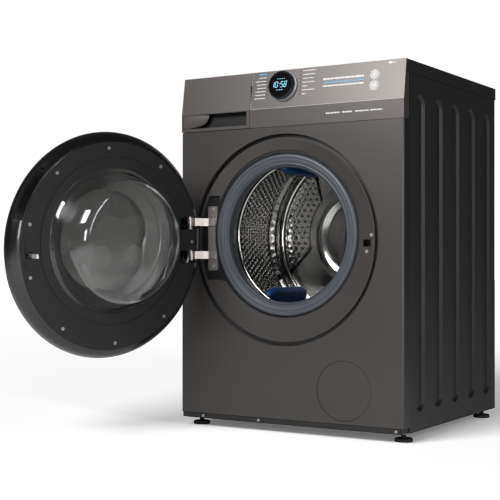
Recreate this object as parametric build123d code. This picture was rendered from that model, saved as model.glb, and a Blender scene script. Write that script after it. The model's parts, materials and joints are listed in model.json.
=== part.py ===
from build123d import *
import os
from math import acos, atan, cos, degrees, hypot, radians, sin, sqrt, tan

os.makedirs("parts", exist_ok=True)

# Front-loading washing machine with its porthole door standing open.
# Frame: +X to the right seen from the front, +Y into the machine, +Z up, millimetres.
# Origin: on the floor, centred on the width, in the plane of the front panel.

# ---------------------------------------------------------------- driving dimensions
# Cabinet
width = 595.0
height = 850.0
depth = 560.0
sheet = 1.0
seam = 0.5
corner_radius = 5.0
front_return = 30.0
worktop_height = 30.0
worktop_front = 17.0
worktop_overhang = 7.0
rear_recess = 15.0
base_height = 22.0
plinth_height = 11.0
tray_height = 36.0
tray_wall = 2.5

# Pressed panels in the sides
rib_count = 5
rib_width = 54.0
rib_slope = 7.0
rib_depth = 6.0
rib_margin = 42.0
rib_first = 86.5
rib_last_margin = 61.5

# Control panel
fascia_height = 133.0
crease_height = 43.0
fascia_lean = 8.53
fascia_wall = 2.5
fascia_depth = 27.0
dial_x = -12.0
dial_rise = 51.0
dial_radius = 33.5
dial_flange = 36.0
dial_depth = 16.0
sleeve_radius = 16.0
lens_radius = 29.8
key_x = 223.0
key_radius = 9.6
key_rises = (59.5, 34.5)

# Detergent drawer
drawer_width = 196.0
drawer_front_depth = 22.0
handle_width = 183.0
handle_height = 33.0
handle_depth = 20.0
handle_drop = 8.0
tray_length = 300.0
tray_depth = 80.0
housing_length = 308.0

# Porthole
porthole_x = -12.0
porthole_z = 452.0
porthole_radius = 247.5
porthole_sink = 12.0
bezel_radius = 238.0
bezel_opening = 197.0
bezel_front = 4.0
bezel_slope = 6.0
drum_rise = 12.0
collar_radius = 192.0
latch_x = 204.0
latch_z = 443.0
latch_width = 20.0
latch_height = 16.0

# Door, described closed; it is turned open about the leaning hinge axis at the end
door_open_angle = 108.0
hinge_x = -251.5
hinge_y = -28.0
hinge_z = 457.0
hinge_lean = 0.0605
pin_radius = 3.0
pin_clearance = 0.05
arm_height = 18.5
arm_spacing = 80.0
door_rim_radius = 258.4
door_rim_plane = -31.0
door_front_plane = -50.0
door_frame_radius = 236.5
door_wall = 3.5
window_radius = 190.0
glass_radius = 166.0
bowl_tip_radius = 137.0
bowl_depth = 87.0
bowl_wall = 4.0
door_screw_radius = 222.0
door_screw_angles = (87.0, 126.0, 180.0, -129.0, -90.5, -52.5, -15.1, 15.1, 49.0)

# Tub and drum
drum_radius = 238.0
drum_gap = 20.0
tub_wall = 4.0
tub_radius = drum_radius + drum_gap + tub_wall
tub_front_plane = 72.0
tub_split = 250.0
tub_back_plane = 430.0
tub_mouth = 182.0
flange_radius = tub_radius + 4.0
hub_radius = 44.0
seal_radius = 30.0
bearing_front_radius = 31.0
bearing_rear_radius = 26.0
drum_wall = 1.0
drum_front_plane = 84.0
drum_back_plane = 400.0
drum_mouth = 172.0
lifter_height = 75.0
lifter_length = 220.0
lifter_width = 64.0
lifter_wall = 3.0
lifter_angles = (232.0, 112.0, 352.0)
shaft_radius = 15.0
shaft_end_radius = 12.5
bearing_clearance = 0.05
pulley_radius = 140.0
pulley_plane = 500.0
pulley_width = 16.0
motor_pulley_radius = 11.0
motor_x = 60.0
motor_z = 128.0
motor_radius = 58.0
motor_front = 320.0
motor_back = 470.0
motor_shaft_radius = 7.0
rotor_radius = 36.0
belt_clearance = 0.3
belt_thickness = 4.0

# Suspension, pump and feet
spring_y = 365.0
spring_low = 604.0
spring_reach = tub_radius - 25.0
spring_radius = 10.0
damper_reach = 200.0
damper_y = 300.0
damper_radius = 16.0
rod_radius = 8.0
damper_top = 176.0
damper_bore_floor = 96.0
rod_low = 112.0
pump_x = 148.0
pump_z = 105.0
pump_radius = 36.0
hose_wall = 3.2
nozzle_bore = 15.0
nozzle_y = 125.0
hose_radius = 18.0
hose_gap = 0.3
cover_x = 148.5
cover_z = 109.0
cover_radius = 68.0
cover_gap = 0.7
cover_front = 0.2
film_hinge_z = cover_z - cover_radius + 2.0
filter_radius = 30.0
filter_plug = 24.0
foot_x_inset = 24.5
foot_front = 52.0
foot_rear_inset = 30.0
foot_pad_radius = 20.0
foot_pad_height = 7.0
stem_radius = 5.0
thread_clearance = 0.05

# Rear services
inlet_x = 225.0
inlet_z = 770.0
inlet_radius = 13.2
neck_step = 0.6
neck_end = sheet + 0.6
drain_x = -235.0
drain_z = 690.0
drain_radius = 10.0
transit_spacing_x = 400.0
transit_spacing_z = 260.0
transit_radius = 11.0
gland_x = -250.0
gland_z = 745.0
gland_radius = 9.0
rear_cover_half = 175.0
rear_cover_low = 190.0
rear_cover_high = 640.0
rear_cover_frame = 14.0

# Screws and small fittings
screw_radius = 4.0
screw_seat = 7.6
screw_head = 2.2
shank_radius = 2.0
shank_clearance = 0.1
plinth_front = 0.6
plinth_wall = 2.0
hinge_plate_wall = 3.0
hook_y = -14.0
hook_pin = 2.0
board_front = 8.6
lens_stem_radius = 12.0

# ---------------------------------------------------------------- derived places
half = width / 2
top_z = height - worktop_height
fascia_z = height - fascia_height
crease_z = fascia_z + crease_height
panel_bottom = base_height + plinth_height + 1.0
panel_top = fascia_z - 1.0
drum_z = porthole_z + drum_rise
drum_x = porthole_x
rear_y = depth - rear_recess
drawer_left = -half
drawer_right = drawer_left + drawer_width
foot_places = {
    "foot_front_left": (-(half - foot_x_inset), foot_front),
    "foot_front_right": (half - foot_x_inset, foot_front),
    "foot_rear_left": (-(half - foot_x_inset), depth - foot_rear_inset),
    "foot_rear_right": (half - foot_x_inset, depth - foot_rear_inset),
}
hinge_plate_front = porthole_sink - hinge_plate_wall - seam / 2
lock_screw_places = [(latch_x + 12, latch_z + 18), (latch_x, latch_z - 19)]
hinge_screw_places = [(hinge_x + 38.5, hinge_z + 70), (hinge_x + 38.5, hinge_z - 67)]
plinth_screw_places = [(-half + 64.5, 27.5), (-76.0, 27.5), (half - 18.5, 27.5)]
lean_frame = Pos(0, 0, crease_z) * Rot(-fascia_lean, 0, 0)
hinge_axis = Axis((hinge_x, hinge_y, hinge_z), (0, -hinge_lean, 1))


# ---------------------------------------------------------------- shape helpers
def box(x0, x1, y0, y1, z0, z1):
    block = Box(x1 - x0, y1 - y0, z1 - z0)
    return Pos((x0 + x1) / 2, (y0 + y1) / 2, (z0 + z1) / 2) * block


def rod(radius, y0, y1, x=0.0, z=0.0):
    """A round bar along Y."""
    return Pos(x, (y0 + y1) / 2, z) * Rot(90, 0, 0) * Cylinder(radius, y1 - y0)


def ring(outer, inner, y0, y1, x=0.0, z=0.0):
    return rod(outer, y0, y1, x, z) - rod(inner, y0 - 1, y1 + 1, x, z)


def post(radius, z0, z1, x, y):
    """A round bar along Z."""
    return Pos(x, y, (z0 + z1) / 2) * Cylinder(radius, z1 - z0)


def turned(points, x, z):
    """A ring turned about the Y direction through (x, z), from (radius, y) corners."""
    face = make_face(Polyline(*points, close=True))
    return Pos(x, 0, z) * revolve(face, Axis.Y, 360)


def slab(points, x0, x1):
    """A prism along X from (y, z) corners."""
    face = Plane.YZ * make_face(Polyline(*points, close=True))
    return Pos(x0, 0, 0) * extrude(face, x1 - x0, dir=(1, 0, 0))


def prism(points, y0, y1):
    """A prism along Y from (x, z) corners."""
    flat = Plane.XZ * make_face(Polyline(*points, close=True))
    return Pos(0, y0, 0) * extrude(flat, y1 - y0, dir=(0, 1, 0))


def column(points, z0, z1):
    """A prism along Z from (x, y) corners."""
    face = make_face(Polyline(*points, close=True))
    return Pos(0, 0, z0) * extrude(face, z1 - z0, dir=(0, 0, 1))


def joined(parts):
    """One solid from touching pieces."""
    whole = parts[0]
    for piece in parts[1:]:
        whole = whole + piece
    return whole


def save(node, shape):
    """Writes a node's solids to its STEP file."""
    solids = shape.solids()
    export_step(solids[0] if len(solids) == 1 else Compound(children=list(solids)), f"parts/{node}.step")


def opened(shape):
    """Turns a piece of the closed door to where the door stands open."""
    return shape.rotate(hinge_axis, -door_open_angle)


def polar(radius, angle, x, z):
    return x + radius * cos(radians(angle)), z + radius * sin(radians(angle))


# ---------------------------------------------------------------- cabinet
def side_panel(side):
    """A side sheet with its pressed obround ribs; side is -1 for left and 1 for right."""
    rib_low = base_height + rib_margin
    rib_high = top_z - rib_margin
    rib_middle = (rib_low + rib_high) / 2
    rib_length = rib_high - rib_low
    rib_pitch = (depth - rib_last_margin - rib_first) / (rib_count - 1)
    sheet_top = top_z - 1.0
    flange = 16.0

    def rib(y, x_out, x_in, grow):
        wide = Plane((x_out, y, rib_middle), x_dir=(0, 0, 1), z_dir=(1, 0, 0))
        deep = Plane((x_in, y, rib_middle), x_dir=(0, 0, 1), z_dir=(1, 0, 0))
        slope = 2 * rib_slope
        mouth = wide * SlotOverall(rib_length + grow, rib_width + grow)
        floor = deep * SlotOverall(rib_length - slope + grow, rib_width - slope + grow)
        return loft([mouth, floor], ruled=True)

    panel = box(half - sheet, half, front_return + seam, depth, base_height, sheet_top)
    panel += box(half - flange, half, front_return + seam, depth, sheet_top - sheet, sheet_top)
    panel += box(half - flange, half, depth - sheet, depth, base_height, sheet_top)
    for n in range(rib_count):
        y = rib_first + n * rib_pitch
        panel += rib(y, half - sheet / 2, half - rib_depth - sheet, 2 * sheet)
    for n in range(rib_count):
        y = rib_first + n * rib_pitch
        panel -= rib(y, half + 0.01, half - rib_depth, 0.0)
    return panel if side > 0 else mirror(panel, about=Plane.YZ)


def base_frame():
    inner = half - sheet - 2.0
    tray_top = base_height + tray_height
    low = base_height + plinth_height
    back = depth - 4.0
    frame = box(-inner, inner, 3.0, back, base_height, low)
    frame += box(-inner, inner, front_return + 1.5, back, base_height, tray_top)
    frame -= box(
        -inner + tray_wall,
        inner - tray_wall,
        front_return + 1.5 + tray_wall,
        back - tray_wall,
        base_height + 4.0,
        tray_top + 1,
    )
    for x, y in foot_places.values():
        frame += post(14.0, base_height, base_height + 24.0, x, y)
    for side in (-1, 1):
        frame += post(10.0, base_height, base_height + 12.0, drum_x + side * damper_reach, damper_y)
    for x, y in foot_places.values():
        frame -= post(stem_radius + thread_clearance, base_height - 1, tray_top + 30, x, y)
    return drilled(frame, plinth_screw_places, 2, 8)


def front_panel():
    """The pressed front sheet with the sunk porthole, the flap hole and the latch hole."""
    panel = box(-half, half, 0, front_return, panel_bottom, panel_top)
    corners = [e for e in panel.edges().filter_by(Axis.Z) if e.center().Y < 1]
    panel = fillet(corners, corner_radius)
    hollow = box(
        -half + sheet, half - sheet, sheet, front_return + 1, panel_bottom + sheet, panel_top - sheet
    )
    inside = [e for e in hollow.edges().filter_by(Axis.Z) if e.center().Y < 2]
    panel -= fillet(inside, corner_radius - sheet)
    floor_back = porthole_sink + sheet
    panel += rod(porthole_radius + sheet, sheet / 2, floor_back, porthole_x, porthole_z)
    panel -= rod(porthole_radius, -1, porthole_sink, porthole_x, porthole_z)
    panel -= rod(collar_radius, 0, front_return, drum_x, drum_z)
    panel -= rod(cover_radius + cover_gap, -1, sheet + 1, cover_x, cover_z)
    panel -= latch_opening(porthole_sink - 1, floor_back + 1)
    return drilled(panel, lock_screw_places + hinge_screw_places, porthole_sink - 1, floor_back + 1)


def latch_opening(y0, y1):
    return box(
        latch_x - latch_width / 2,
        latch_x + latch_width / 2,
        y0,
        y1,
        latch_z - latch_height / 2,
        latch_z + latch_height / 2,
    )


def bezel_ring():
    """The porthole trim: a dished ring whose opening sits higher than its outer edge."""
    back = porthole_sink - seam / 2
    throat = bezel_front + bezel_slope
    trim = rod(bezel_radius, bezel_front, back, porthole_x, porthole_z)
    mouth = Plane((porthole_x, bezel_front - 0.01, porthole_z), z_dir=(0, 1, 0)) * Circle(bezel_radius - 2)
    neck = Plane((drum_x, throat, drum_z + 2), z_dir=(0, 1, 0)) * Circle(bezel_opening)
    trim -= loft([mouth, neck], ruled=True)
    trim -= rod(bezel_opening, 0, back + 1, drum_x, drum_z + 2)
    pocket_left = porthole_x - bezel_radius - 10
    pocket = box(pocket_left, hinge_x + 61, 0, back + 1, hinge_z - 100, hinge_z + 103)
    trim -= pocket & rod(bezel_radius - 4, 0, back + 1, porthole_x, porthole_z)
    step = [(-205, 360), (-166, 352), (-152, 325), (-78, 279), (-70, 300), (-186, 404)]
    trim -= prism([(porthole_x + x + 12, porthole_z + z - 452) for x, z in step], 0, back + 1)
    tab = box(latch_x + 17, latch_x + 27, bezel_front - 2.5, back, latch_z - 31, latch_z + 30)
    trim += tab & rod(bezel_radius, 0, back, porthole_x, porthole_z)
    trim -= latch_opening(0, back + 1)
    for x, z in lock_screw_places:
        trim -= rod(screw_radius + 0.3, 0, screw_seat, x, z)
    return drilled(trim, lock_screw_places, 0, back + 1)


# ---------------------------------------------------------------- screws in the cabinet front
def drilled(shape, places, y0, y1):
    for x, z in places:
        shape -= rod(shank_radius + shank_clearance, y0, y1, x, z)
    return shape


def screw(x, z, seat, length, head_radius):
    """A pan-head screw along Y with its head on the seat and a cross slot."""
    piece = rod(head_radius, seat - screw_head, seat, x, z) + rod(shank_radius, seat, seat + length, x, z)
    slot = head_radius * 0.6
    for wide, tall in ((slot, 0.5), (0.5, slot)):
        piece -= box(x - wide, x + wide, seat - screw_head - 1, seat - 1.2, z - tall, z + tall)
    return piece


def cabinet_screws():
    pieces = [screw(x, z, screw_seat, 10.0, screw_radius) for x, z in lock_screw_places]
    pieces += [screw(x, z, hinge_plate_front, 9.0, screw_radius) for x, z in hinge_screw_places]
    pieces += [screw(x, z, plinth_front, 6.0, screw_radius - 0.8) for x, z in plinth_screw_places]
    return Compound(children=pieces)


# ---------------------------------------------------------------- plinth, hinge and lock
def plinth_strip():
    strip = box(
        -half + 17.5, half - 7.5, plinth_front, plinth_front + plinth_wall,
        base_height, base_height + plinth_height,
    )
    return drilled(strip, plinth_screw_places, 0, 4)


def on_hinge(radius, z0, z1):
    """A round bar along the leaning hinge axis, between two heights from the hinge centre."""
    turn = degrees(atan(hinge_lean))
    bar = Pos(0, 0, (z0 + z1) / 2) * Cylinder(radius, z1 - z0)
    return Pos(hinge_x, hinge_y, hinge_z) * Rot(turn, 0, 0) * bar


def hinge_plate():
    """The cabinet half of the hinge: a screwed plate with two forward arms that hold the pin."""
    front, back = hinge_plate_front, hinge_plate_front + hinge_plate_wall
    left = hinge_x + 26
    plate = box(left, left + 26, front, back, hinge_z - 77, hinge_z + 78)
    plate = fillet(plate.edges().filter_by(Axis.Y), 5.0)
    eye = 6.5
    arm = [
        (hinge_x + 49, front + 0.2),
        (hinge_x + 47, front - 4.5),
        (hinge_x + 31, front - 6.0),
        (hinge_x + 19, front - 13.0),
        (hinge_x + 8, hinge_y + 7.0),
        (hinge_x + eye, hinge_y),
        (hinge_x - eye, hinge_y),
        (hinge_x + 2, hinge_y + 13.0),
        (hinge_x + 12, front - 7.5),
        (hinge_x + 25, front + 0.2),
    ]
    for middle in (arm_spacing / 2, -arm_spacing / 2):
        low = hinge_z + middle - arm_height / 2
        plate += column(arm, low, low + arm_height)
        plate += on_hinge(eye, middle - arm_height / 2, middle + arm_height / 2)
    plate -= rod(collar_radius + 1.0, 0, back + 1, drum_x, drum_z)
    reach = arm_spacing
    plate -= on_hinge(pin_radius + pin_clearance, -reach, reach)
    return drilled(plate, hinge_screw_places, 0, back + 1)


def hinge_pin():
    end = (arm_spacing + arm_height) / 2
    return on_hinge(pin_radius, -end - 4, end + 2) + on_hinge(pin_radius + 2, end + 1.5, end + 3.5)


def door_lock():
    """The lock case behind the latch opening, wider inside so the hook can swing."""
    front = porthole_sink + sheet + 0.3
    body = box(latch_x - 20, latch_x + 24, front, front + 38, latch_z - 29, latch_z + 28)
    body -= latch_opening(front - 1, front + 3)
    body -= box(latch_x - 18, latch_x + 20, front + 2, front + 34, latch_z - 8, latch_z + 8)
    return drilled(body, lock_screw_places, front - 1, front + 8)


def service_cover():
    """The round flap; a film hinge, a groove along its lower edge, lets it fold out."""
    cover = rod(cover_radius, cover_front, cover_front + 2, cover_x, cover_z)
    cover = chamfer(cover.edges().filter_by(GeomType.CIRCLE).sort_by(Axis.Y)[0], 0.5)
    groove = Plane((cover_x - 40, cover_front, film_hinge_z), z_dir=(1, 0, 0)) * Circle(0.6)
    return cover - extrude(groove, 80)


# ---------------------------------------------------------------- worktop and control panel
def worktop():
    back = depth + worktop_overhang
    top = box(-half, half, worktop_front, back, top_z, height)
    edges = top.edges().filter_by(Plane.XY).group_by(Axis.Z)[-1]
    top = fillet(edges, 3.0)
    wall = 13.0
    pocket = box(-half + wall, half - wall, worktop_front + wall, back - wall, top_z - 1, height - 14)
    return top - pocket


def on_face(x, up):
    """A frame on the leaning face: X to the right, Y into the panel, Z up the slope."""
    return lean_frame * Pos(x, 0, up)


def fascia_profile(inset):
    """(y, z) corners of the control panel's front, moved in by a wall thickness."""
    slope = tan(radians(fascia_lean))
    shift = inset / cos(radians(fascia_lean))
    return [
        (inset, fascia_z),
        (inset, crease_z),
        (shift + slope * (height - 0.5 - crease_z), height - 0.5),
    ]


def control_fascia():
    """The control panel moulding, open at its left end for the drawer front."""
    low, crease, high = fascia_profile(0.0)
    outline = [low, crease, high, (worktop_front - seam, high[1]), (worktop_front - seam, top_z - seam)]
    outline += [(fascia_depth, top_z - seam), (fascia_depth, fascia_z)]
    panel = slab(outline, -half, half)
    slope = tan(radians(fascia_lean))
    inner_top = top_z - 3.0
    wall = fascia_wall / cos(radians(fascia_lean))
    hollow = [
        (fascia_wall, fascia_z + fascia_wall),
        (wall, crease_z),
        (wall + slope * (inner_top - crease_z), inner_top),
        (fascia_depth + 1, inner_top),
        (fascia_depth + 1, fascia_z + fascia_wall),
    ]
    panel -= slab(hollow, -half + fascia_wall, half - fascia_wall)
    cut_right = drawer_right + 0.8
    panel -= box(-half - 1, cut_right, -1, drawer_front_depth + seam, fascia_z - 1, height + 1)
    panel += box(cut_right, cut_right + 2, fascia_wall, fascia_depth, fascia_z + 1, top_z - 2.9)
    panel -= on_face(dial_x, dial_rise) * rod(sleeve_radius + 0.1, -5, 12)
    panel -= on_face(dial_x, dial_rise) * rod(sleeve_radius + 2.5, fascia_wall, 20)
    for up in key_rises:
        panel -= on_face(key_x, up) * rod(key_radius + 0.15, -5, 12)
        panel -= on_face(key_x, up) * rod(key_radius + 2.2, fascia_wall, 12)
    return panel


def dial_ring():
    """The selector: a ring that turns around the fixed display, held by a lip behind the panel."""
    back = fascia_wall + 3.0
    bore = lens_stem_radius + 0.4
    outline = [
        (lens_radius + 0.4, -dial_depth),
        (dial_radius - 1.5, -dial_depth),
        (dial_radius, -dial_depth + 2.5),
        (dial_radius, -4.0),
        (dial_flange, -3.0),
        (dial_flange, -0.6),
        (sleeve_radius, -0.6),
        (sleeve_radius, fascia_wall + 0.4),
        (sleeve_radius + 1.5, fascia_wall + 0.4),
        (sleeve_radius + 1.5, back),
        (bore, back),
        (bore, -4.0),
        (lens_radius + 0.4, -4.0),
    ]
    return on_face(dial_x, dial_rise) * turned(outline, 0, 0)


def display_lens():
    lens = rod(lens_radius, -dial_depth - 0.8, -dial_depth + 2.2)
    lens += rod(lens_stem_radius, -dial_depth + 2.0, fascia_wall + 3.0)
    lens += rod(7.5, fascia_wall + 2.0, board_front - 0.1)
    return on_face(dial_x, dial_rise) * lens


def control_board():
    """The electronics tray behind the panel."""
    left = drawer_right + 10.5
    board = box(left, half - 24, board_front, board_front + 9, -27, 49)
    return lean_frame * board


def press_key(up):
    key = rod(key_radius, -0.7, fascia_wall + 0.4)
    key += rod(key_radius + 1.6, fascia_wall + 0.3, fascia_wall + 1.8)
    return on_face(key_x, up) * key


def drawer_front():
    """The drawer's front with its finger recess, in line with the control panel."""
    left, right = drawer_left, drawer_right
    low, crease, high = fascia_profile(0.0)
    low = (low[0], low[1] + seam)
    back = drawer_front_depth
    outline = [low, crease, high, (worktop_front - seam, high[1]), (worktop_front - seam, top_z - seam)]
    outline += [(back, top_z - seam), (back, low[1])]
    front = slab(outline, left, right)
    slope = tan(radians(fascia_lean))
    wall = fascia_wall
    hollow_top = top_z - 4.0
    hollow = [
        (wall, low[1] + wall),
        (wall, crease_z),
        (wall + slope * (hollow_top - crease_z), hollow_top),
        (back + 1, hollow_top),
        (back + 1, low[1] + wall),
    ]
    front -= slab(hollow, left + wall, right - wall)
    handle_left = left + 4.5
    handle_low = fascia_z + handle_drop
    liner = 1.6
    front += box(
        handle_left - liner, handle_left + handle_width + liner, wall - 0.5, handle_depth + liner,
        handle_low - liner, handle_low + handle_height + liner,
    )
    front -= box(
        handle_left, handle_left + handle_width, -1, handle_depth, handle_low, handle_low + handle_height
    )
    return front


def drawer_tray():
    """The three-compartment detergent tray behind the drawer front."""
    left, right = drawer_left + 10.5, drawer_right - 5.5
    front, back = drawer_front_depth + 0.2, drawer_front_depth + tray_length
    low = fascia_z + 9.0
    high = low + tray_depth
    wall = 2.0
    tray = box(left, right, front, back, low, high)
    first = left + (right - left) * 0.36
    second = left + (right - left) * 0.64
    for x0, x1 in ((left, first), (first, second), (second, right)):
        tray -= box(x0 + wall, x1 - wall, front + wall + 2, back - wall, low + wall, high + 1)
    return tray


def dispenser_housing():
    left, right = drawer_left + 7.6, drawer_right - 1.5
    front = fascia_depth + seam
    low = fascia_z + 5.0
    wall = 2.0
    back = front + housing_length
    case = box(left, right, front, back, low, top_z - 3)
    return case - box(left + wall, right - wall, front - 1, back - wall, low + wall, top_z - 5)


# ---------------------------------------------------------------- rear
def rear_panel():
    edge = half - sheet - seam
    low = base_height + tray_height + 1.0
    panel = box(-edge, edge, rear_y, rear_y + sheet, low, top_z - 3)
    panel -= box(
        drum_x - rear_cover_half + rear_cover_frame,
        drum_x + rear_cover_half - rear_cover_frame,
        rear_y - 1,
        rear_y + 2,
        rear_cover_low + rear_cover_frame,
        rear_cover_high - rear_cover_frame,
    )
    for side in (-1, 1):
        for rise in (-1, 1):
            x = drum_x + side * transit_spacing_x / 2
            panel -= rod(transit_radius, rear_y - 1, rear_y + 2, x, drum_z + rise * transit_spacing_z / 2)
    panel -= rod(inlet_radius + 0.4, rear_y - 1, rear_y + 2, inlet_x, inlet_z)
    panel -= rod(drain_radius + 0.4, rear_y - 1, rear_y + 2, drain_x, drain_z)
    panel -= rod(gland_radius + 0.3, rear_y - 1, rear_y + 2, gland_x, gland_z)
    return panel


def rear_cover():
    front = rear_y + sheet + 0.2
    left, right = drum_x - rear_cover_half, drum_x + rear_cover_half
    cover = box(left, right, front, front + sheet, rear_cover_low, rear_cover_high)
    cover = fillet(cover.edges().filter_by(Axis.Y), 20.0)
    raised = box(left + 30, right - 30, front, front + 5, rear_cover_low + 30, rear_cover_high - 30)
    raised = fillet(raised.edges().filter_by(Axis.Y), 30.0)
    raised = chamfer(raised.faces().sort_by(Axis.Y)[-1].edges(), 3.5)
    hollow = box(
        left + 34, right - 34, front - 1, front + 4, rear_cover_low + 34, rear_cover_high - 34
    )
    return cover + raised - fillet(hollow.edges().filter_by(Axis.Y), 26.0)


def inlet_valve():
    body = box(inlet_x - 22, inlet_x + 22, rear_y - 62, rear_y - 0.3, inlet_z - 20, inlet_z + 20)
    body += rod(inlet_radius - neck_step, rear_y - 1, rear_y + 3, inlet_x, inlet_z)
    return body + rod(inlet_radius, rear_y + neck_end, rear_y + 19, inlet_x, inlet_z)


def drain_outlet():
    spigot = rod(drain_radius - neck_step, rear_y - 20, rear_y + 3, drain_x, drain_z)
    spigot += rod(drain_radius, rear_y + neck_end, rear_y + 19, drain_x, drain_z)
    spigot += rod(drain_radius + 5, rear_y - 3.5, rear_y - 0.3, drain_x, drain_z)
    return spigot - rod(drain_radius - 2, rear_y - 21, rear_y + 20, drain_x, drain_z)


def mains_gland():
    gland = rod(gland_radius, rear_y - 8, rear_y + 7, gland_x, gland_z)
    gland += rod(gland_radius + 3, rear_y + sheet + 0.2, rear_y + 4, gland_x, gland_z)
    return gland - rod(4.0, rear_y - 9, rear_y + 8, gland_x, gland_z)


# ---------------------------------------------------------------- pump, feet, dampers
def drain_pump():
    """The pump casting with its filter chamber, standing on the base tray."""
    floor = base_height + 4.2
    body = rod(pump_radius, 24, 150, pump_x, pump_z) + rod(26.0, 149, 195, pump_x, pump_z)
    body += box(pump_x - 24, pump_x + 24, 40, 120, floor, pump_z - 20)
    body += post(hose_radius, pump_z, 172.0, pump_x, nozzle_y)
    body -= rod(filter_plug + 0.08, 23, 64, pump_x, pump_z)
    body -= rod(pump_radius - 8, 63, 142, pump_x, pump_z)
    return body - post(nozzle_bore, pump_z, 173.0, pump_x, nozzle_y)


def filter_cap():
    """The screw-in lint filter with a bar grip."""
    cap = rod(filter_radius, 16, 23.4, pump_x, pump_z) + rod(filter_plug, 23, 58, pump_x, pump_z)
    cap += box(pump_x - 24, pump_x + 24, 8, 17, pump_z - 5, pump_z + 5)
    return cap


def sump_hose():
    inner = hose_radius + hose_gap
    low, high = 158.0, 238.0
    outside = post(inner + hose_wall, low, high, pump_x, nozzle_y)
    return outside - post(inner, low - 1, high + 1, pump_x, nozzle_y)


def foot(x, y):
    foot_body = post(foot_pad_radius, 0, foot_pad_height, x, y)
    foot_body = fillet(foot_body.edges().filter_by(GeomType.CIRCLE).sort_by(Axis.Z)[-1], 2.5)
    return foot_body + post(stem_radius, foot_pad_height - 1, base_height + 30, x, y)


def lock_nuts():
    nuts = []
    for x, y in foot_places.values():
        nut = extrude(Pos(x, y, base_height - 6.2) * RegularPolygon(9.8, 6), 6.0)
        nuts.append(nut - post(stem_radius + thread_clearance, 0, base_height, x, y))
    return Compound(children=nuts)


def damper_x(side):
    return drum_x + side * damper_reach


def damper_cylinders():
    pieces = []
    bore = rod_radius + bearing_clearance
    for side in (-1, 1):
        x = damper_x(side)
        tube = post(damper_radius, base_height + 12.2, damper_top, x, damper_y)
        tube -= post(bore, damper_bore_floor, damper_top + 1, x, damper_y)
        pieces.append(tube)
    return Compound(children=pieces)


def damper_rods():
    pieces = []
    for side in (-1, 1):
        high = tub_underside(damper_reach) - 14.2
        pieces.append(post(rod_radius, rod_low, high, damper_x(side), damper_y))
    return Compound(children=pieces)


def tub_underside(reach):
    """Height of the tub's underside at a distance to the side of its axis."""
    return drum_z - sqrt(tub_radius**2 - reach**2)


# ---------------------------------------------------------------- tub and its fittings
def tub_front():
    """The front half of the tub with its mouth, split flange and sump nozzle."""
    front, inner = tub_front_plane, tub_radius - tub_wall
    section = [(tub_radius, tub_split), (tub_radius, front + 24), (tub_radius - 20, front + 4)]
    section += [(tub_mouth, front), (tub_mouth, front + tub_wall + 0.5)]
    section += [(inner - 17, front + tub_wall + 4.5), (inner, front + 26), (inner, tub_split)]
    tub = turned(section, drum_x, drum_z)
    tub += ring(flange_radius, inner + 2, tub_split - 10, tub_split - 0.1, drum_x, drum_z)
    reach = pump_x - drum_x
    shell = tub_underside(reach)
    tub += post(hose_radius, 224.0, shell + 6, pump_x, nozzle_y)
    tub -= post(nozzle_bore, 223.0, shell + 40, pump_x, nozzle_y)
    return tub


def tub_rear():
    """The rear half of the tub with the bearing hub, spring lugs and damper lugs."""
    inner = tub_radius - tub_wall
    tub = ring(tub_radius, inner, tub_split + 0.1, tub_back_plane, drum_x, drum_z)
    tub += ring(flange_radius, inner + 2, tub_split + 0.1, tub_split + 10, drum_x, drum_z)
    tub += rod(inner + 1, tub_back_plane - 5, tub_back_plane, drum_x, drum_z)
    tub += rod(hub_radius, 414, 488, drum_x, drum_z)
    tub -= rod(seal_radius + 0.05, 413, 429.0, drum_x, drum_z)
    tub -= rod(bearing_front_radius + 0.02, 428.9, 446.2, drum_x, drum_z)
    tub -= rod(22.0, 446, 470, drum_x, drum_z)
    tub -= rod(bearing_rear_radius + 0.02, 469.8, 489, drum_x, drum_z)
    for side in (-1, 1):
        bottom, axis = spring_line(side)
        seat = spring_low - spring_radius * abs(axis.X) - 0.5
        outside, inside = drum_x + side * (spring_reach + 12), drum_x + side * (inner - 53)
        low, high = min(outside, inside), max(outside, inside)
        lug = box(low, high, spring_y - 8, spring_y + 8, seat - 20, seat)
        tub += lug - rod(inner, 0, depth, drum_x, drum_z)
        x = damper_x(side)
        shell = tub_underside(damper_reach)
        lug = box(x - 12, x + 12, damper_y - 12, damper_y + 12, shell - 14, shell + 24)
        tub += lug - rod(inner + 1, 0, depth, drum_x, drum_z)
    return tub - heater_plug(0.3)


def heater_plug(grow):
    z = drum_z - 245
    return box(
        drum_x - 30 - grow, drum_x + 30 + grow, tub_back_plane - 8, tub_back_plane + 4,
        z - 9 - grow, z + 9 + grow,
    )


def heater():
    """The tubular heating element under the drum with its rubber plug."""
    z = drum_z - 246.5
    front = tub_back_plane - 230
    element = heater_plug(0.0)
    for side in (-1, 1):
        element += rod(3.5, front, tub_back_plane, drum_x + side * 20, z)
    bar = Pos(drum_x, front + 3.5, z) * Rot(0, 90, 0) * Cylinder(3.5, 40)
    element += bar
    for side in (-1, 1):
        element += rod(2.0, tub_back_plane, tub_back_plane + 16, drum_x + side * 20, z)
    return element


def drum_bearings():
    front = ring(bearing_front_radius, shaft_radius + bearing_clearance, 430, 446, drum_x, drum_z)
    rear = ring(bearing_rear_radius, shaft_end_radius + bearing_clearance, 470, 485, drum_x, drum_z)
    return Compound(children=[front, rear])


def shaft_seal():
    return ring(seal_radius, shaft_radius + bearing_clearance, 420, 428.6, drum_x, drum_z)


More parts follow.
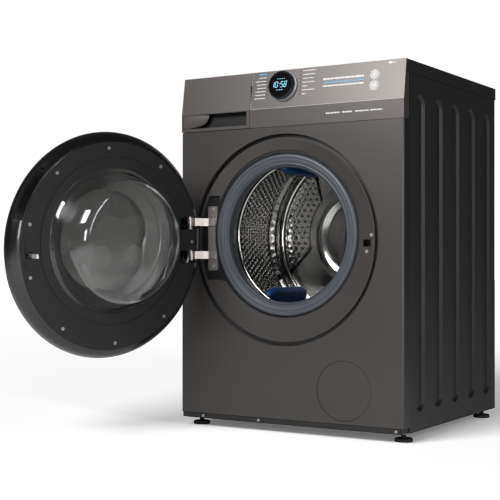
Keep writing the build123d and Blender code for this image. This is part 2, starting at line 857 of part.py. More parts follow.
def counterweights():
    """A block on top of the tub and a crescent under its mouth."""
    top = box(drum_x - 70, drum_x + 170, 140, 235, drum_z + 220, drum_z + 310)
    top -= rod(flange_radius + 1, 0, depth, drum_x, drum_z)
    front = ring(tub_radius - 24, tub_mouth + 14, 40, tub_front_plane - 3, drum_x, drum_z)
    front -= box(drum_x - 300, drum_x + 300, 0, 100, drum_z - 60, drum_z + 300)
    return Compound(children=[top.solids()[0], front.solids()[0]])


def spring_line(side):
    """The lower end of a spring and its direction towards the cabinet's top rail."""
    bottom = Vector(drum_x + side * spring_reach, spring_y, spring_low)
    top = Vector(side * (half - 24), spring_y, top_z - 12)
    return bottom, (top - bottom).normalized()


def tub_springs():
    pieces = []
    for side in (-1, 1):
        bottom, axis = spring_line(side)
        length = (top_z - 12 - spring_low) / axis.Z
        section = Circle(spring_radius) - Circle(spring_radius - 3)
        pieces.append(extrude(Plane(bottom, z_dir=axis) * section, length))
    return Compound(children=pieces)


def door_gasket():
    """The rubber bellows between the porthole and the tub mouth."""
    lip = [(190.5, 12.5), (184.0, 7.5), (172.0, 8.0), (162.0, 16.0), (158.0, 25.0), (160.5, 30.0)]
    end = tub_front_plane + 9.0
    neck = tub_mouth - 0.6
    inner = [(167.0, 34.0), (168.5, 52.0), (175.0, end - 14), (177.5, end)]
    outer = [(neck, end), (neck - 1.4, end - 14), (176.0, 52.0), (176.0, 40.0), (190.5, 20.0)]
    return turned(lip + inner + outer, drum_x, drum_z)


# ---------------------------------------------------------------- drum
def drum_shell():
    """The stainless drum wall with its inward front lip."""
    inner = drum_radius - drum_wall
    front = drum_front_plane
    outline = [
        (drum_radius, drum_back_plane - 1.8),
        (drum_radius, front + 14),
        (drum_radius - 11, front + 2),
        (drum_mouth, front),
        (drum_mouth - 2, front + 2),
        (drum_mouth - 2, front + 6),
        (drum_mouth - 1, front + 6),
        (drum_mouth, front + 1.6),
        (drum_radius - 12, front + 3.4),
        (inner, front + 15),
        (inner, drum_back_plane - 1.8),
    ]
    return turned(outline, drum_x, drum_z)


def drum_back():
    return rod(drum_radius, drum_back_plane - 1.6, drum_back_plane, drum_x, drum_z)


def drum_spider():
    """The three-arm spider cast around the drum shaft."""
    front = drum_back_plane + 0.2
    spider = rod(40.0, front, front + 12, drum_x, drum_z)
    for angle in lifter_angles:
        x, z = polar(120, angle, drum_x, drum_z)
        arm = Box(200, 10, 44)
        spider += Pos(x, front + 5.5, z) * Rot(0, -angle, 0) * arm
    spider &= rod(drum_radius - 4, front, front + 20, drum_x, drum_z)
    spider += rod(shaft_radius, front + 11, 452, drum_x, drum_z)
    return spider + rod(shaft_end_radius, 451, pulley_plane + pulley_width + 6, drum_x, drum_z)


def drum_lifters():
    """Three tall hollow paddles along the inside of the drum."""
    seat = drum_radius - drum_wall - 2.4
    tip = drum_radius - lifter_height
    edge = lifter_width / 2
    side = [(seat, edge), (seat - 30, edge * 0.62), (tip + 6, edge * 0.42), (tip, edge * 0.2)]
    outline = side + [(x, -z) for x, z in reversed(side)]
    section = make_face(Polyline(*outline, close=True))
    front = drum_front_plane + 18
    back = front + lifter_length
    paddle = Pos(0, front, 0) * extrude(Plane.XZ * section, back - front, dir=(0, 1, 0))
    inside = Plane.XZ * offset(section, -lifter_wall)
    shift = 2 * lifter_wall
    cavity = Pos(0, front + lifter_wall, 0) * extrude(inside, back - front - shift, dir=(0, 1, 0))
    paddle -= Pos(lifter_wall + 1, 0, 0) * cavity
    turns = [Rot(0, -angle, 0) for angle in lifter_angles]
    return Compound(children=[Pos(drum_x, 0, drum_z) * turn * paddle for turn in turns])


def drum_pulley():
    """The belt pulley: rim, six spokes and hub."""
    low, high = pulley_plane, pulley_plane + pulley_width
    pulley = ring(pulley_radius, pulley_radius - 8, low, high, drum_x, drum_z)
    pulley += ring(24.0, shaft_end_radius, low - 6, high, drum_x, drum_z)
    for n in range(6):
        x, z = polar((pulley_radius + 12) / 2, n * 60, drum_x, drum_z)
        spoke = Pos(x, (low + high) / 2, z) * Rot(0, -n * 60, 0) * Box(pulley_radius - 26, 8, 22)
        pulley += spoke
    return pulley - rod(shaft_end_radius, low - 10, high + 10, drum_x, drum_z)


# ---------------------------------------------------------------- motor and belt
def motor_body():
    """The motor frame hung under the tub, with a bore for its rotor."""
    body = rod(motor_radius, motor_front, motor_back, motor_x, motor_z)
    body -= rod(rotor_radius + 1, motor_front + 12, motor_back - 12, motor_x, motor_z)
    bore = motor_shaft_radius + bearing_clearance
    body -= rod(bore, motor_front - 1, motor_back + 1, motor_x, motor_z)
    top = tub_underside(motor_x - drum_x) + 6
    for y in (motor_front + 20, motor_back - 60):
        hanger = box(motor_x - 20, motor_x + 20, y, y + 16, motor_z + 40, top)
        hanger -= rod(tub_radius + 0.2, 0, depth, drum_x, drum_z)
        hanger -= rod(rotor_radius + 2, 0, depth, motor_x, motor_z)
        body += hanger
    return body


def motor_rotor():
    rotor = rod(rotor_radius, motor_front + 14, motor_back - 14, motor_x, motor_z)
    rotor += rod(motor_shaft_radius, motor_front + 4, pulley_plane + pulley_width, motor_x, motor_z)
    return rotor + rod(motor_pulley_radius, pulley_plane - 2, pulley_plane + pulley_width, motor_x, motor_z)


def belt_loop(grow):
    """The area inside a belt run around both pulleys, at a distance outside their rims."""
    big, small = pulley_radius + grow, motor_pulley_radius + grow
    dx, dz = motor_x - drum_x, motor_z - drum_z
    span = hypot(dx, dz)
    side_angle = degrees(acos((big - small) / span))
    heading = Vector(dx, 0, dz).get_angle(Vector(1, 0, 0)) * (1 if dz > 0 else -1)
    corners = []
    for turn, reach in ((side_angle, big), (-side_angle, big)):
        corners.append(polar(reach, heading + turn, drum_x, drum_z))
    for turn, reach in ((-side_angle, small), (side_angle, small)):
        corners.append(polar(reach, heading + turn, motor_x, motor_z))
    low, high = pulley_plane + 1.5, pulley_plane + pulley_width - 1.5
    loop = prism(corners, low, high)
    return loop + rod(big, low, high, drum_x, drum_z) + rod(small, low, high, motor_x, motor_z)


def drive_belt():
    return belt_loop(belt_clearance + belt_thickness) - belt_loop(belt_clearance)


# ---------------------------------------------------------------- door, modelled closed
def rim_face(inset):
    """Half section of the door rim's outside as a (radius, y) face down to the window edge."""
    back = -1.0 - inset
    wide = door_rim_radius - inset
    front = door_front_plane + inset
    low = door_frame_radius + 0.5
    edge = low if inset == 0 else low - 2.0
    crown = ((edge + wide) / 2 + 3.2, -9.5 - inset * 0.6)
    side = ThreePointArc((edge, back), crown, (wide, door_rim_plane))
    shoulder = (wide - 6.4, door_front_plane + 5.2 + inset * 0.2)
    nose = ThreePointArc((wide, door_rim_plane), shoulder, (232, front))
    base = Polyline((232, front), (window_radius + 0.5, front), (window_radius + 0.5, back), (edge, back))
    return make_face([side, nose, base])


def sector(inner, outer, y0, y1, low, high):
    """A ring sector around the door's centre, between two angles."""
    outline = Polyline((inner, y0), (outer, y0), (outer, y1), (inner, y1), close=True)
    piece = revolve(make_face(outline), Axis.Y, high - low)
    return Pos(porthole_x, 0, porthole_z) * Rot(0, -high, 0) * piece


def door_slots():
    """Room for the two fixed hinge arms through the whole swing of the door."""
    reach = arm_height / 2 + 6.0
    slots = []
    for middle in (arm_spacing / 2, -arm_spacing / 2):
        z = hinge_z + middle
        slots.append(box(hinge_x - 60, hinge_x + 53, hinge_y - 9.5, 9, z - reach, z + reach))
    return joined(slots)


def door_rim():
    """The gloss outer moulding: a hollow ring with a finger scoop opposite the hinge."""
    envelope = Pos(porthole_x, 0, porthole_z) * revolve(rim_face(0.0), Axis.Y, 360)
    inside = Pos(porthole_x, 0, porthole_z) * revolve(rim_face(door_wall), Axis.Y, 360)
    skin = door_front_plane + door_wall
    hollow = inside
    hollow += ring(door_frame_radius + 0.5, window_radius + door_wall, skin, 1, porthole_x, porthole_z)
    rim = envelope - hollow
    rim -= ring(door_frame_radius + 0.5, window_radius - 1, -20, 1, porthole_x, porthole_z)
    scoop_block = sector(door_frame_radius + 0.6, door_rim_radius + 2, door_front_plane, 0, 13, 49)
    rim += envelope & scoop_block
    rim -= sector(door_frame_radius + 4, door_rim_radius + 20, door_rim_plane + 9, 2, 16, 46)
    seat_top = hinge_y - 8.2
    rim += box(hinge_x + 9, hinge_x + 42, skin - 0.5, seat_top, hinge_z - 20, hinge_z + 20)
    return rim - door_slots()


def door_window():
    """The smoked outer window, gently domed."""
    rise = 6.0
    curve = (window_radius**2 + rise**2) / (2 * rise)
    top = door_front_plane - rise
    blank = rod(window_radius, top - 1, door_front_plane + 3)
    shell = Pos(0, top + curve, 0) * Sphere(curve) - Pos(0, top + curve + 3, 0) * Sphere(curve)
    return Pos(porthole_x, 0, porthole_z) * (blank & shell)


def door_inner_frame():
    """The satin inner frame with the glass opening, latch cradle and arm notches."""
    glass_z = drum_z
    frame = rod(door_frame_radius, -4, 0, porthole_x, porthole_z)
    cradle = box(latch_x - 14, latch_x + 14, -24, -3.5, latch_z - 15, latch_z + 15)
    frame += cradle
    frame -= rod(glass_radius, -5, 1, drum_x, glass_z)
    frame -= ring(192.5, 188.5, -1.6, 1, drum_x, glass_z)
    plate_left, plate_right = latch_x - 28, latch_x + 12
    plate_low, plate_high = latch_z - 30, latch_z + 35
    outline = box(plate_left, plate_right, -0.8, 1, plate_low, plate_high)
    outline -= box(plate_left + 1.2, plate_right - 1.2, -2, 2, plate_low + 1.2, plate_high - 1.2)
    frame -= outline
    frame -= box(latch_x - 9, latch_x + 9, -21, 1, latch_z - 7, latch_z + 7)
    frame -= post(hook_pin + 0.05, latch_z - 13, latch_z + 13, latch_x - 2.5, hook_y)
    for angle in door_screw_angles:
        x, z = polar(door_screw_radius, angle, porthole_x, porthole_z)
        frame -= rod(shank_radius + shank_clearance, -5, 1, x, z)
        frame -= rod(screw_radius + 0.8, -1.4, 1, x, z)
    return frame - door_slots()


def door_hook():
    """The sprung steel hook that enters the lock."""
    x = latch_x - 2.5
    outline = [
        (x - 3.0, hook_y - 4.0), (x + 3.0, hook_y - 4.0), (x + 3.0, 18.0), (x + 7.5, 20.0),
        (x + 3.0, 31.0), (x - 1.0, 33.0), (x - 3.0, 28.0),
    ]
    hook = column(outline, latch_z - 4.5, latch_z + 4.5)
    hook += post(hook_pin, latch_z - 11.5, latch_z + 11.5, x, hook_y)
    return hook


def door_bowl():
    """The clear glass bowl that fills the porthole when the door is shut."""
    wall = bowl_wall
    throat = glass_radius - 3.0
    flange = glass_radius + 10.0
    seat = -4.2
    cone = [(throat, seat), (throat - 3, 2.0), (bowl_tip_radius, bowl_depth), (0, bowl_depth)]
    outer = turned([(0, seat - wall), (flange, seat - wall), (flange, seat)] + cone, 0, 0)
    inner = turned(
        [
            (0, seat - wall - 1),
            (throat - wall, seat - wall - 1),
            (throat - 3 - wall, 2.0),
            (bowl_tip_radius - wall - 0.8, bowl_depth - wall),
            (0, bowl_depth - wall),
        ],
        0,
        0,
    )
    tip = outer.edges().filter_by(GeomType.CIRCLE).sort_by(Axis.Y)[-1]
    pit = inner.edges().filter_by(GeomType.CIRCLE).sort_by(Axis.Y)[-1]
    return Pos(drum_x, 0, drum_z) * (fillet(tip, 15.0) - fillet(pit, 11.0))


def door_trim_ring():
    """The silver funnel between the bowl and the window."""
    top = glass_radius + 2.0
    neck = 116.0
    low = door_front_plane + 13.0
    outline = [(top, -8.6), (top + 3, -8.6), (top + 3, -11.0), (neck + 3, low), (neck, low)]
    return turned(outline, drum_x, drum_z)


def door_hinge_leaf():
    """The door half of the hinge: a barrel on the pin and a plate screwed inside the rim."""
    length = arm_spacing - arm_height - 9.0
    turn = degrees(atan(hinge_lean))
    plate = Pos(22, -5.0, 0) * Box(40, 3, length - 12)
    leaf = on_hinge(6.5, -length / 2, length / 2)
    leaf += Pos(hinge_x, hinge_y, hinge_z) * Rot(turn, 0, 0) * plate
    return leaf - on_hinge(pin_radius + pin_clearance, -length, length)


def door_screws():
    pieces = []
    for angle in door_screw_angles:
        x, z = polar(door_screw_radius, angle, porthole_x, porthole_z)
        head = rod(screw_radius, -1.2, 0.8, x, z)
        slot = screw_radius * 0.55
        for wide, tall in ((slot, 0.5), (0.5, slot)):
            head -= box(x - wide, x + wide, -0.2, 1, z - tall, z + tall)
        pieces.append(head + rod(shank_radius, -12, -1, x, z))
    return Compound(children=[opened(piece) for piece in pieces])


# ---------------------------------------------------------------- write every node
save("side_panel_left", side_panel(-1))
save("side_panel_right", side_panel(1))
save("base_frame", base_frame())
save("front_panel", front_panel())
save("bezel_ring", bezel_ring())
save("cabinet_screws", cabinet_screws())
save("plinth_strip", drilled(plinth_strip(), plinth_screw_places, 0, 4))
save("hinge_plate", hinge_plate())
save("hinge_pin", hinge_pin())
save("door_lock", door_lock())
save("service_cover", service_cover())
save("worktop", worktop())
save("control_fascia", control_fascia())
save("dial_ring", dial_ring())
save("display_lens", display_lens())
save("control_board", control_board())
save("power_key", press_key(key_rises[0]))
save("start_key", press_key(key_rises[1]))
save("drawer_front", drawer_front())
save("drawer_tray", drawer_tray())
save("dispenser_housing", dispenser_housing())
save("rear_panel", rear_panel())
save("rear_cover", rear_cover())
save("inlet_valve", inlet_valve())
save("drain_outlet", drain_outlet())
save("mains_gland", mains_gland())
save("drain_pump", drain_pump())
save("filter_cap", filter_cap())
save("sump_hose", sump_hose())
for name, (foot_x, foot_y) in foot_places.items():
    save(name, foot(foot_x, foot_y))
save("lock_nuts", lock_nuts())
save("damper_cylinders", damper_cylinders())
save("damper_rods", damper_rods())
save("tub_front", tub_front())
save("tub_rear", tub_rear())
save("heater", heater())
save("drum_bearings", drum_bearings())
save("shaft_seal", shaft_seal())
save("counterweights", counterweights())
save("tub_springs", tub_springs())
save("door_gasket", door_gasket())
save("drum_shell", drum_shell())
save("drum_back", drum_back())
save("drum_spider", drum_spider())
save("drum_lifters", drum_lifters())
save("drum_pulley", drum_pulley())
save("motor_body", motor_body())
save("motor_rotor", motor_rotor())
save("drive_belt", drive_belt())
save("door_rim", opened(door_rim()))
save("door_window", opened(door_window()))
save("door_inner_frame", opened(door_inner_frame()))
save("door_bowl", opened(door_bowl()))
save("door_trim_ring", opened(door_trim_ring()))
save("door_hinge_leaf", opened(door_hinge_leaf()))
save("door_hook", opened(door_hook()))
save("door_screws", door_screws())
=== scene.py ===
# %% [markdown]
# # A front load washing machine, dressed in Blender
# The CAD model gives every part its true size and place. This script only dresses it: it loads
# that frame, gives each part a finish, and builds finer pieces where a plain solid isn't enough,
# such as the perforated drum, the rubber door gasket and the glass bowl of the door.

# %% Load the frame
import bpy
import bmesh
import json
import math
import random
from mathutils import Matrix, Vector


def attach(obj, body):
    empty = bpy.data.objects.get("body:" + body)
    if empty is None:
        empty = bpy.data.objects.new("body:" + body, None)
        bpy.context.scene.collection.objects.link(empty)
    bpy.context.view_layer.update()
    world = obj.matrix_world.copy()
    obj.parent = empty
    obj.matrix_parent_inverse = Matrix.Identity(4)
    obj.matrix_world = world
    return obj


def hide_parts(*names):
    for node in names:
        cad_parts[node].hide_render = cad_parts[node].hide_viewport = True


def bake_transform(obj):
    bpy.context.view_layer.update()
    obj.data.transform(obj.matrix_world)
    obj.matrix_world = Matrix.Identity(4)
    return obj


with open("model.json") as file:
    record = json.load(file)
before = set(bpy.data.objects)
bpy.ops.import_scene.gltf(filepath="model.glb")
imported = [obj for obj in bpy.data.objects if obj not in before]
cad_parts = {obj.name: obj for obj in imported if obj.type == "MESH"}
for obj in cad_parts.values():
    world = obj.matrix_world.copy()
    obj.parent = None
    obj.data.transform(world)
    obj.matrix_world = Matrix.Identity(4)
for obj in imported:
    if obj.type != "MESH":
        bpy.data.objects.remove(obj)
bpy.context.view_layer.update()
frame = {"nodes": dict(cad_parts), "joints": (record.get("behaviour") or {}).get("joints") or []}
nodes = frame["nodes"]
MM = 0.001

# %% [markdown]
# ## Camera
# An appliance looks calm through a long lens from a few metres away, held level, so that
# upright edges stay upright. A small upward shift frames the machine without tilting the camera.

# %% Camera
camera_data = bpy.data.cameras.new("camera")
camera = bpy.data.objects.new("camera", camera_data)
bpy.context.scene.collection.objects.link(camera)
bpy.context.scene.camera = camera
camera_turn = math.radians(32.08)
camera_data.sensor_width = 36.0
camera_data.lens = 84.21
camera_data.shift_y = 0.0202
camera_data.clip_start, camera_data.clip_end = 0.1, 60.0
camera.location = (1.3711, -2.3468, 0.4048)
camera.rotation_euler = (math.radians(90), 0.0, camera_turn)
print("camera", [round(v, 3) for v in camera.location], "lens", camera_data.lens)

# %% [markdown]
# ## Colours and shader nodes
# Designers write colours as hex codes, which are sRGB. Shaders work in linear light, so one
# function turns one into the other. A second small function adds a shader node with its settings
# and links, which keeps each finish readable as a short list of what feeds what.

# %% Colour and node helpers
def linear(code):
    """A hex sRGB colour as linear RGBA."""
    parts = [int(code[i:i + 2], 16) / 255 for i in (1, 3, 5)]
    light = [c / 12.92 if c <= 0.04045 else ((c + 0.055) / 1.055) ** 2.4 for c in parts]
    return (*light, 1.0)


def add(tree, kind, settings=None, inputs=None):
    """Adds one node. Settings are its properties; inputs are socket values or (node, output) links."""
    node = tree.nodes.new(kind)
    for key, value in (settings or {}).items():
        setattr(node, key, value)
    for key, value in (inputs or {}).items():
        if isinstance(value, tuple) and hasattr(value[0], "outputs"):
            tree.links.new(value[0].outputs[value[1]], node.inputs[key])
        else:
            node.inputs[key].default_value = value
    return node


def maths(tree, operation, *values):
    """Adds one Math node and returns its link, so that sums can be written inside each other."""
    node = add(tree, "ShaderNodeMath", {"operation": operation}, dict(enumerate(values)))
    return node, "Value"


def finish(name, colour, roughness, metallic=0.0, grain=1.0, bump=0.1, vary=0.06, rub=0.05,
           stretch=(1, 1, 1), **sockets):
    """A moulded, painted or rolled surface: slow colour drift, grain in gloss and in height.

    grain is the texture's size in millimetres, bump its height in millimetres, vary the share by
    which the colour drifts, and rub how much the roughness changes with the grain.
    """
    material = bpy.data.materials.new(name)
    material.use_nodes = True
    tree = material.node_tree
    shader = tree.nodes["Principled BSDF"]
    shader.inputs["Metallic"].default_value = metallic
    for key, value in sockets.items():
        shader.inputs[key.replace("_", " ")].default_value = value
    place = add(tree, "ShaderNodeTexCoord")
    mapped = add(tree, "ShaderNodeMapping", {}, {"Vector": (place, "Object"), "Scale": stretch})
    cloud = add(tree, "ShaderNodeTexNoise", {}, {"Vector": (place, "Object"), "Scale": 7.0, "Detail": 3.0})
    fine = add(tree, "ShaderNodeTexNoise", {},
               {"Vector": (mapped, "Vector"), "Scale": 1000.0 / grain, "Detail": 2.0, "Roughness": 0.6})
    base = linear(colour)
    dark = tuple(c * (1 - vary) for c in base[:3]) + (1.0,)
    light = tuple(min(1.0, c * (1 + vary)) for c in base[:3]) + (1.0,)
    tint = add(tree, "ShaderNodeMix", {"data_type": "RGBA"}, {"Factor": (cloud, "Fac")})
    tint.inputs["A"].default_value = dark
    tint.inputs["B"].default_value = light
    tree.links.new(tint.outputs["Result"], shader.inputs["Base Color"])
    gloss = add(tree, "ShaderNodeMapRange", {}, {
        "Value": (fine, "Fac"), "From Min": 0.3, "From Max": 0.7,
        "To Min": max(0.02, roughness - rub), "To Max": min(1.0, roughness + rub)})
    tree.links.new(gloss.outputs["Result"], shader.inputs["Roughness"])
    if bump:
        relief = add(tree, "ShaderNodeBump", {}, {
            "Height": (fine, "Fac"), "Strength": 1.0, "Distance": bump * MM})
        tree.links.new(relief.outputs["Normal"], shader.inputs["Normal"])
    return material


print("white is", linear("#ffffff"))

# %% [markdown]
# ## Finishes
# Each finish is named for what the real part is made of. The front and the control panel are
# coil-coated steel and painted ABS in one metallic titanium grey; the sides are pre-coated steel
# with a fine black texture; the door is gloss and satin black ABS around a clear glass bowl.

# %% Finishes
metal_paint = {"metallic": 0.6, "grain": 0.6, "bump": 0.004, "rub": 0.03}
titanium_coat = finish("titanium_coated_steel", "#454240", 0.36, vary=0.05, **metal_paint)
titanium_abs = finish("titanium_painted_abs", "#504c4a", 0.38, vary=0.04, **metal_paint)
drawer_abs = finish("drawer_painted_abs", "#504c4a", 0.38, vary=0.04, **metal_paint)
bezel_abs = finish("bezel_painted_abs", "#464341", 0.36, vary=0.04, **metal_paint)
black_sheet = finish("textured_black_steel", "#141415", 0.45, grain=1.2, bump=0.05, vary=0.08, rub=0.06)
black_laminate = finish("black_laminate", "#141415", 0.45, grain=0.9, bump=0.02, vary=0.06, rub=0.05)
galvanised = finish("galvanised_sheet", "#a3a6a8", 0.38, metallic=0.9, grain=9.0, bump=0.01, vary=0.14,
                    rub=0.1)
gloss_black = finish("gloss_black_abs", "#030303", 0.26, grain=2.0, bump=0.0, vary=0.02, rub=0.02,
                     Coat_Weight=0.4, Coat_Roughness=0.08)
satin_black = finish("satin_black_abs", "#0b0b0b", 0.42, grain=0.7, bump=0.02, vary=0.06, rub=0.05)
dark_polymer = finish("dark_polypropylene", "#202122", 0.55, grain=1.5, bump=0.03, vary=0.06)
pale_polymer = finish("pale_polypropylene", "#c4c7ca", 0.45, grain=1.5, bump=0.02, vary=0.04)
tub_polymer = finish("filled_polypropylene", "#7b8084", 0.6, grain=2.5, bump=0.05, vary=0.08)
grey_rubber = finish("gasket_rubber", "#373b42", 0.46, grain=1.0, bump=0.02, vary=0.05, rub=0.06)
black_rubber = finish("black_rubber", "#141414", 0.7, grain=1.2, bump=0.04, vary=0.08)
stainless = {"metallic": 1.0, "grain": 3.0, "bump": 0.0, "vary": 0.03}
drum_steel = finish("polished_stainless", "#a3a2a0", 0.15, rub=0.05, **stainless)
wall_steel = finish("embossed_stainless", "#999896", 0.18, rub=0.06, **stainless)
zinc_steel = finish("zinc_plated_steel", "#b3aca8", 0.34, metallic=0.9, grain=0.8, bump=0.006, vary=0.06,
                    rub=0.08, stretch=(1, 1, 0.1))
dark_steel = finish("oiled_steel", "#4a4a4a", 0.4, metallic=0.9, grain=1.5, bump=0.01)
cast_alloy = finish("cast_aluminium", "#9c9fa2", 0.48, metallic=0.9, grain=2.0, bump=0.06, vary=0.08)
cast_iron = finish("cast_iron", "#55585b", 0.75, metallic=0.2, grain=2.5, bump=0.2, vary=0.12)
blue_abs = finish("blue_abs", "#17386b", 0.3, grain=1.2, bump=0.008, vary=0.06, rub=0.04)
silver_abs = finish("silver_painted_abs", "#6d6a68", 0.33, metallic=0.7, grain=0.8, bump=0.004, vary=0.05)
ring_silver = finish("dial_silver_abs", "#8c8f93", 0.3, metallic=0.75, grain=0.8, bump=0.003, vary=0.04)
display_black = finish("display_acrylic", "#050506", 0.08, grain=2.0, bump=0.0, vary=0.02, rub=0.01)
white_print = finish("white_screen_print", "#c9c9c8", 0.5, grain=0.5, bump=0.0, vary=0.04)
black_print = finish("black_screen_print", "#0c0c0d", 0.45, grain=0.5, bump=0.0, vary=0.04)
blue_print = finish("blue_screen_print", "#3c83a8", 0.45, grain=0.5, bump=0.0, vary=0.04)
print("finishes", len([m for m in bpy.data.materials if m.use_nodes]))

# %% [markdown]
# Glass is different: light passes through it. Solid clear glass only needs the right index of
# refraction, a very smooth surface and walls of real thickness, so its colour and gloss are set
# straight on the shader. The display's digits shine by themselves, so they use emission.

# %% Glass and light finishes
even = {"bump": 0.0, "vary": 0.0, "rub": 0.0}
clear_glass = finish("clear_glass", "#eef1f1", 0.015, grain=3.0, Transmission_Weight=1.0, IOR=1.5, **even)
smoked_glass = finish("smoked_acrylic", "#b9b3af", 0.06, grain=3.0, Transmission_Weight=0.85, IOR=1.49,
                      **even)
digit_light = finish("digit_light", "#8fd4ee", 0.4, Emission_Color=linear("#6cc3e8"),
                     Emission_Strength=0.75, **even)
for material, colour, roughness in ((clear_glass, "#eef1f1", 0.015), (smoked_glass, "#b9b3af", 0.06)):
    shader = material.node_tree.nodes["Principled BSDF"]
    for label in ("Base Color", "Roughness"):
        material.node_tree.links.remove(shader.inputs[label].links[0])
    shader.inputs["Base Color"].default_value = linear(colour)
    shader.inputs["Roughness"].default_value = roughness
print("glass finishes", clear_glass.name, smoked_glass.name, "and a light,", digit_light.name)

# %% [markdown]
# ## Finishes on the CAD parts
# Most parts already have their exact shape, so they only need a finish. The table below is a
# parts list: each finish is followed by the nodes that wear it.

# %% Dress the CAD parts
wears = {
    titanium_coat: ["front_panel", "service_cover"],
    titanium_abs: ["control_fascia"],
    drawer_abs: ["drawer_front"],
    bezel_abs: ["bezel_ring"],
    black_sheet: ["side_panel_left", "side_panel_right"],
    black_laminate: ["worktop"],
    galvanised: ["rear_panel"],
    gloss_black: ["door_rim", "power_key", "start_key"],
    satin_black: ["door_inner_frame", "plinth_strip"],
    dark_polymer: ["base_frame", "rear_cover", "control_board", "door_lock", "damper_cylinders",
                   "mains_gland", "filter_cap"],
    pale_polymer: ["drawer_tray", "dispenser_housing", "inlet_valve", "drain_pump", "drain_outlet"],
    tub_polymer: ["tub_front", "tub_rear"],
    black_rubber: ["drive_belt", "shaft_seal", "foot_front_left", "foot_front_right", "foot_rear_left",
                   "foot_rear_right"],
    zinc_steel: ["cabinet_screws", "hinge_plate", "hinge_pin", "lock_nuts", "heater", "door_hinge_leaf",
                 "door_screws", "door_hook", "damper_rods"],
    dark_steel: ["drum_bearings", "motor_rotor"],
    cast_alloy: ["motor_body", "drum_spider", "drum_pulley"],
    cast_iron: ["counterweights"],
    ring_silver: ["dial_ring"],
    display_black: ["display_lens"],
}


def wear(piece, material):
    piece.data.materials.clear()
    piece.data.materials.append(material)


for material, names in wears.items():
    for name in names:
        wear(nodes[name], material)
print("dressed", sum(len(n) for n in wears.values()), "CAD parts")

# %% [markdown]
# The front sheet is one pressing, and the floor of its porthole recess lies in shadow behind the
# bezel. That shadow is painted into the sheet's colour by mixing on depth: what lies more than six
# millimetres behind the front plane turns near black, as painted shade.

# %% Painting part of a finish
def object_axes(tree):
    """The X, Y and Z of a surface point in its object, in metres."""
    place = add(tree, "ShaderNodeTexCoord")
    return add(tree, "ShaderNodeSeparateXYZ", {}, {"Vector": (place, "Object")})


def paint_where(material, mask, colour, roughness=None):
    """Where the mask is 1 a finish turns to another colour, without metal, and another gloss."""
    tree = material.node_tree
    shader = tree.nodes["Principled BSDF"]
    old = shader.inputs["Base Color"].links[0].from_socket
    mix = add(tree, "ShaderNodeMix", {"data_type": "RGBA"}, {"Factor": mask})
    tree.links.new(old, mix.inputs["A"])
    mix.inputs["B"].default_value = linear(colour)
    tree.links.new(mix.outputs["Result"], shader.inputs["Base Color"])
    for label, value in (("Metallic", 0.0), ("Roughness", roughness)):
        if value is not None:
            blend = add(tree, "ShaderNodeMapRange", {}, {
                "Value": mask, "To Min": shader.inputs[label].default_value, "To Max": value})
            tree.links.new(blend.outputs["Result"], shader.inputs[label])


# painted shade: more than six millimetres behind the front plane the sheet turns near black, where the recess
# floor lies in shadow behind the bezel
shade_depth, shade_edge = 0.006, 0.0006
tree = titanium_coat.node_tree
behind = add(tree, "ShaderNodeMapRange", {"clamp": True}, {
    "Value": (object_axes(tree), "Y"),
    "From Min": shade_depth - shade_edge, "From Max": shade_depth + shade_edge})
paint_where(titanium_coat, (behind, "Result"), "#0d0d0e")
print("the front sheet turns dark behind", shade_depth)

# %% [markdown]
# The drawer front has a deep finger recess whose pocket lies in shade. That shade is painted in
# here too: what lies behind the leaning face between two heights turns near black, as painted
# shade.

# %% Painted shade in the finger recess
pocket_low, pocket_high, face_depth = 0.7235, 0.7595, 0.0004
tree = drawer_abs.node_tree
axes = object_axes(tree)
behind = maths(tree, "GREATER_THAN", (axes, "Y"), face_depth)
above = maths(tree, "GREATER_THAN", (axes, "Z"), pocket_low)
below = maths(tree, "LESS_THAN", (axes, "Z"), pocket_high)
# painted shade: behind the leaning face inside the finger recess the colour turns near black
paint_where(drawer_abs, maths(tree, "MULTIPLY", maths(tree, "MULTIPLY", above, below), behind), "#050505")
print("the pocket is dark from", pocket_low, "to", pocket_high)

# %% [markdown]
# The dial is black and glossy on top with a silver skirt round its foot, one moulding painted in
# two steps. The paint line is a height above the leaning panel, so the finish mixes on it. The
# panel leans back from a crease, and everything on it is placed from that crease.

# %% Two-tone dial
lean = math.radians(8.53)
crease = 760.0
face_out = Vector((0, -math.cos(lean), math.sin(lean)))
paint_line = 0.0095
tree = ring_silver.node_tree
place = add(tree, "ShaderNodeTexCoord")
moved = add(tree, "ShaderNodeVectorMath", {"operation": "SUBTRACT"}, {
    0: (place, "Object"), 1: (0.0, 0.0, crease * MM)})
away = add(tree, "ShaderNodeVectorMath", {"operation": "DOT_PRODUCT"}, {0: (moved, "Vector"), 1: face_out})
paint_where(ring_silver, maths(tree, "GREATER_THAN", (away, "Value"), paint_line), "#060606", 0.16)
print("the dial's paint line is", paint_line, "out from the panel")

# %% [markdown]
# ## Turned shapes
# Drum, gasket and bowl are all turned: a half section swept around an axis. One helper
# takes the section as (radius, depth) corners in millimetres, softens its corners with small
# curves as a moulding tool would, and sweeps it around a line parallel to Y.

# %% Turning helpers
def soften(points, reach, steps=4, closed=True):
    """Rounds the corners of a section by starting a small curve a given reach before each one."""
    out = []
    count = len(points)
    for i, corner in enumerate(points):
        if not closed and i in (0, count - 1):
            out.append(corner)
            continue
        corner = Vector(corner)
        before = Vector(points[i - 1]) - corner
        after = Vector(points[(i + 1) % count]) - corner
        cut = min(reach, 0.45 * before.length, 0.45 * after.length)
        start, end = corner + before.normalized() * cut, corner + after.normalized() * cut
        for k in range(steps + 1):
            t = k / steps
            out.append(tuple((1 - t) ** 2 * start + 2 * t * (1 - t) * corner + t * t * end))
    return out


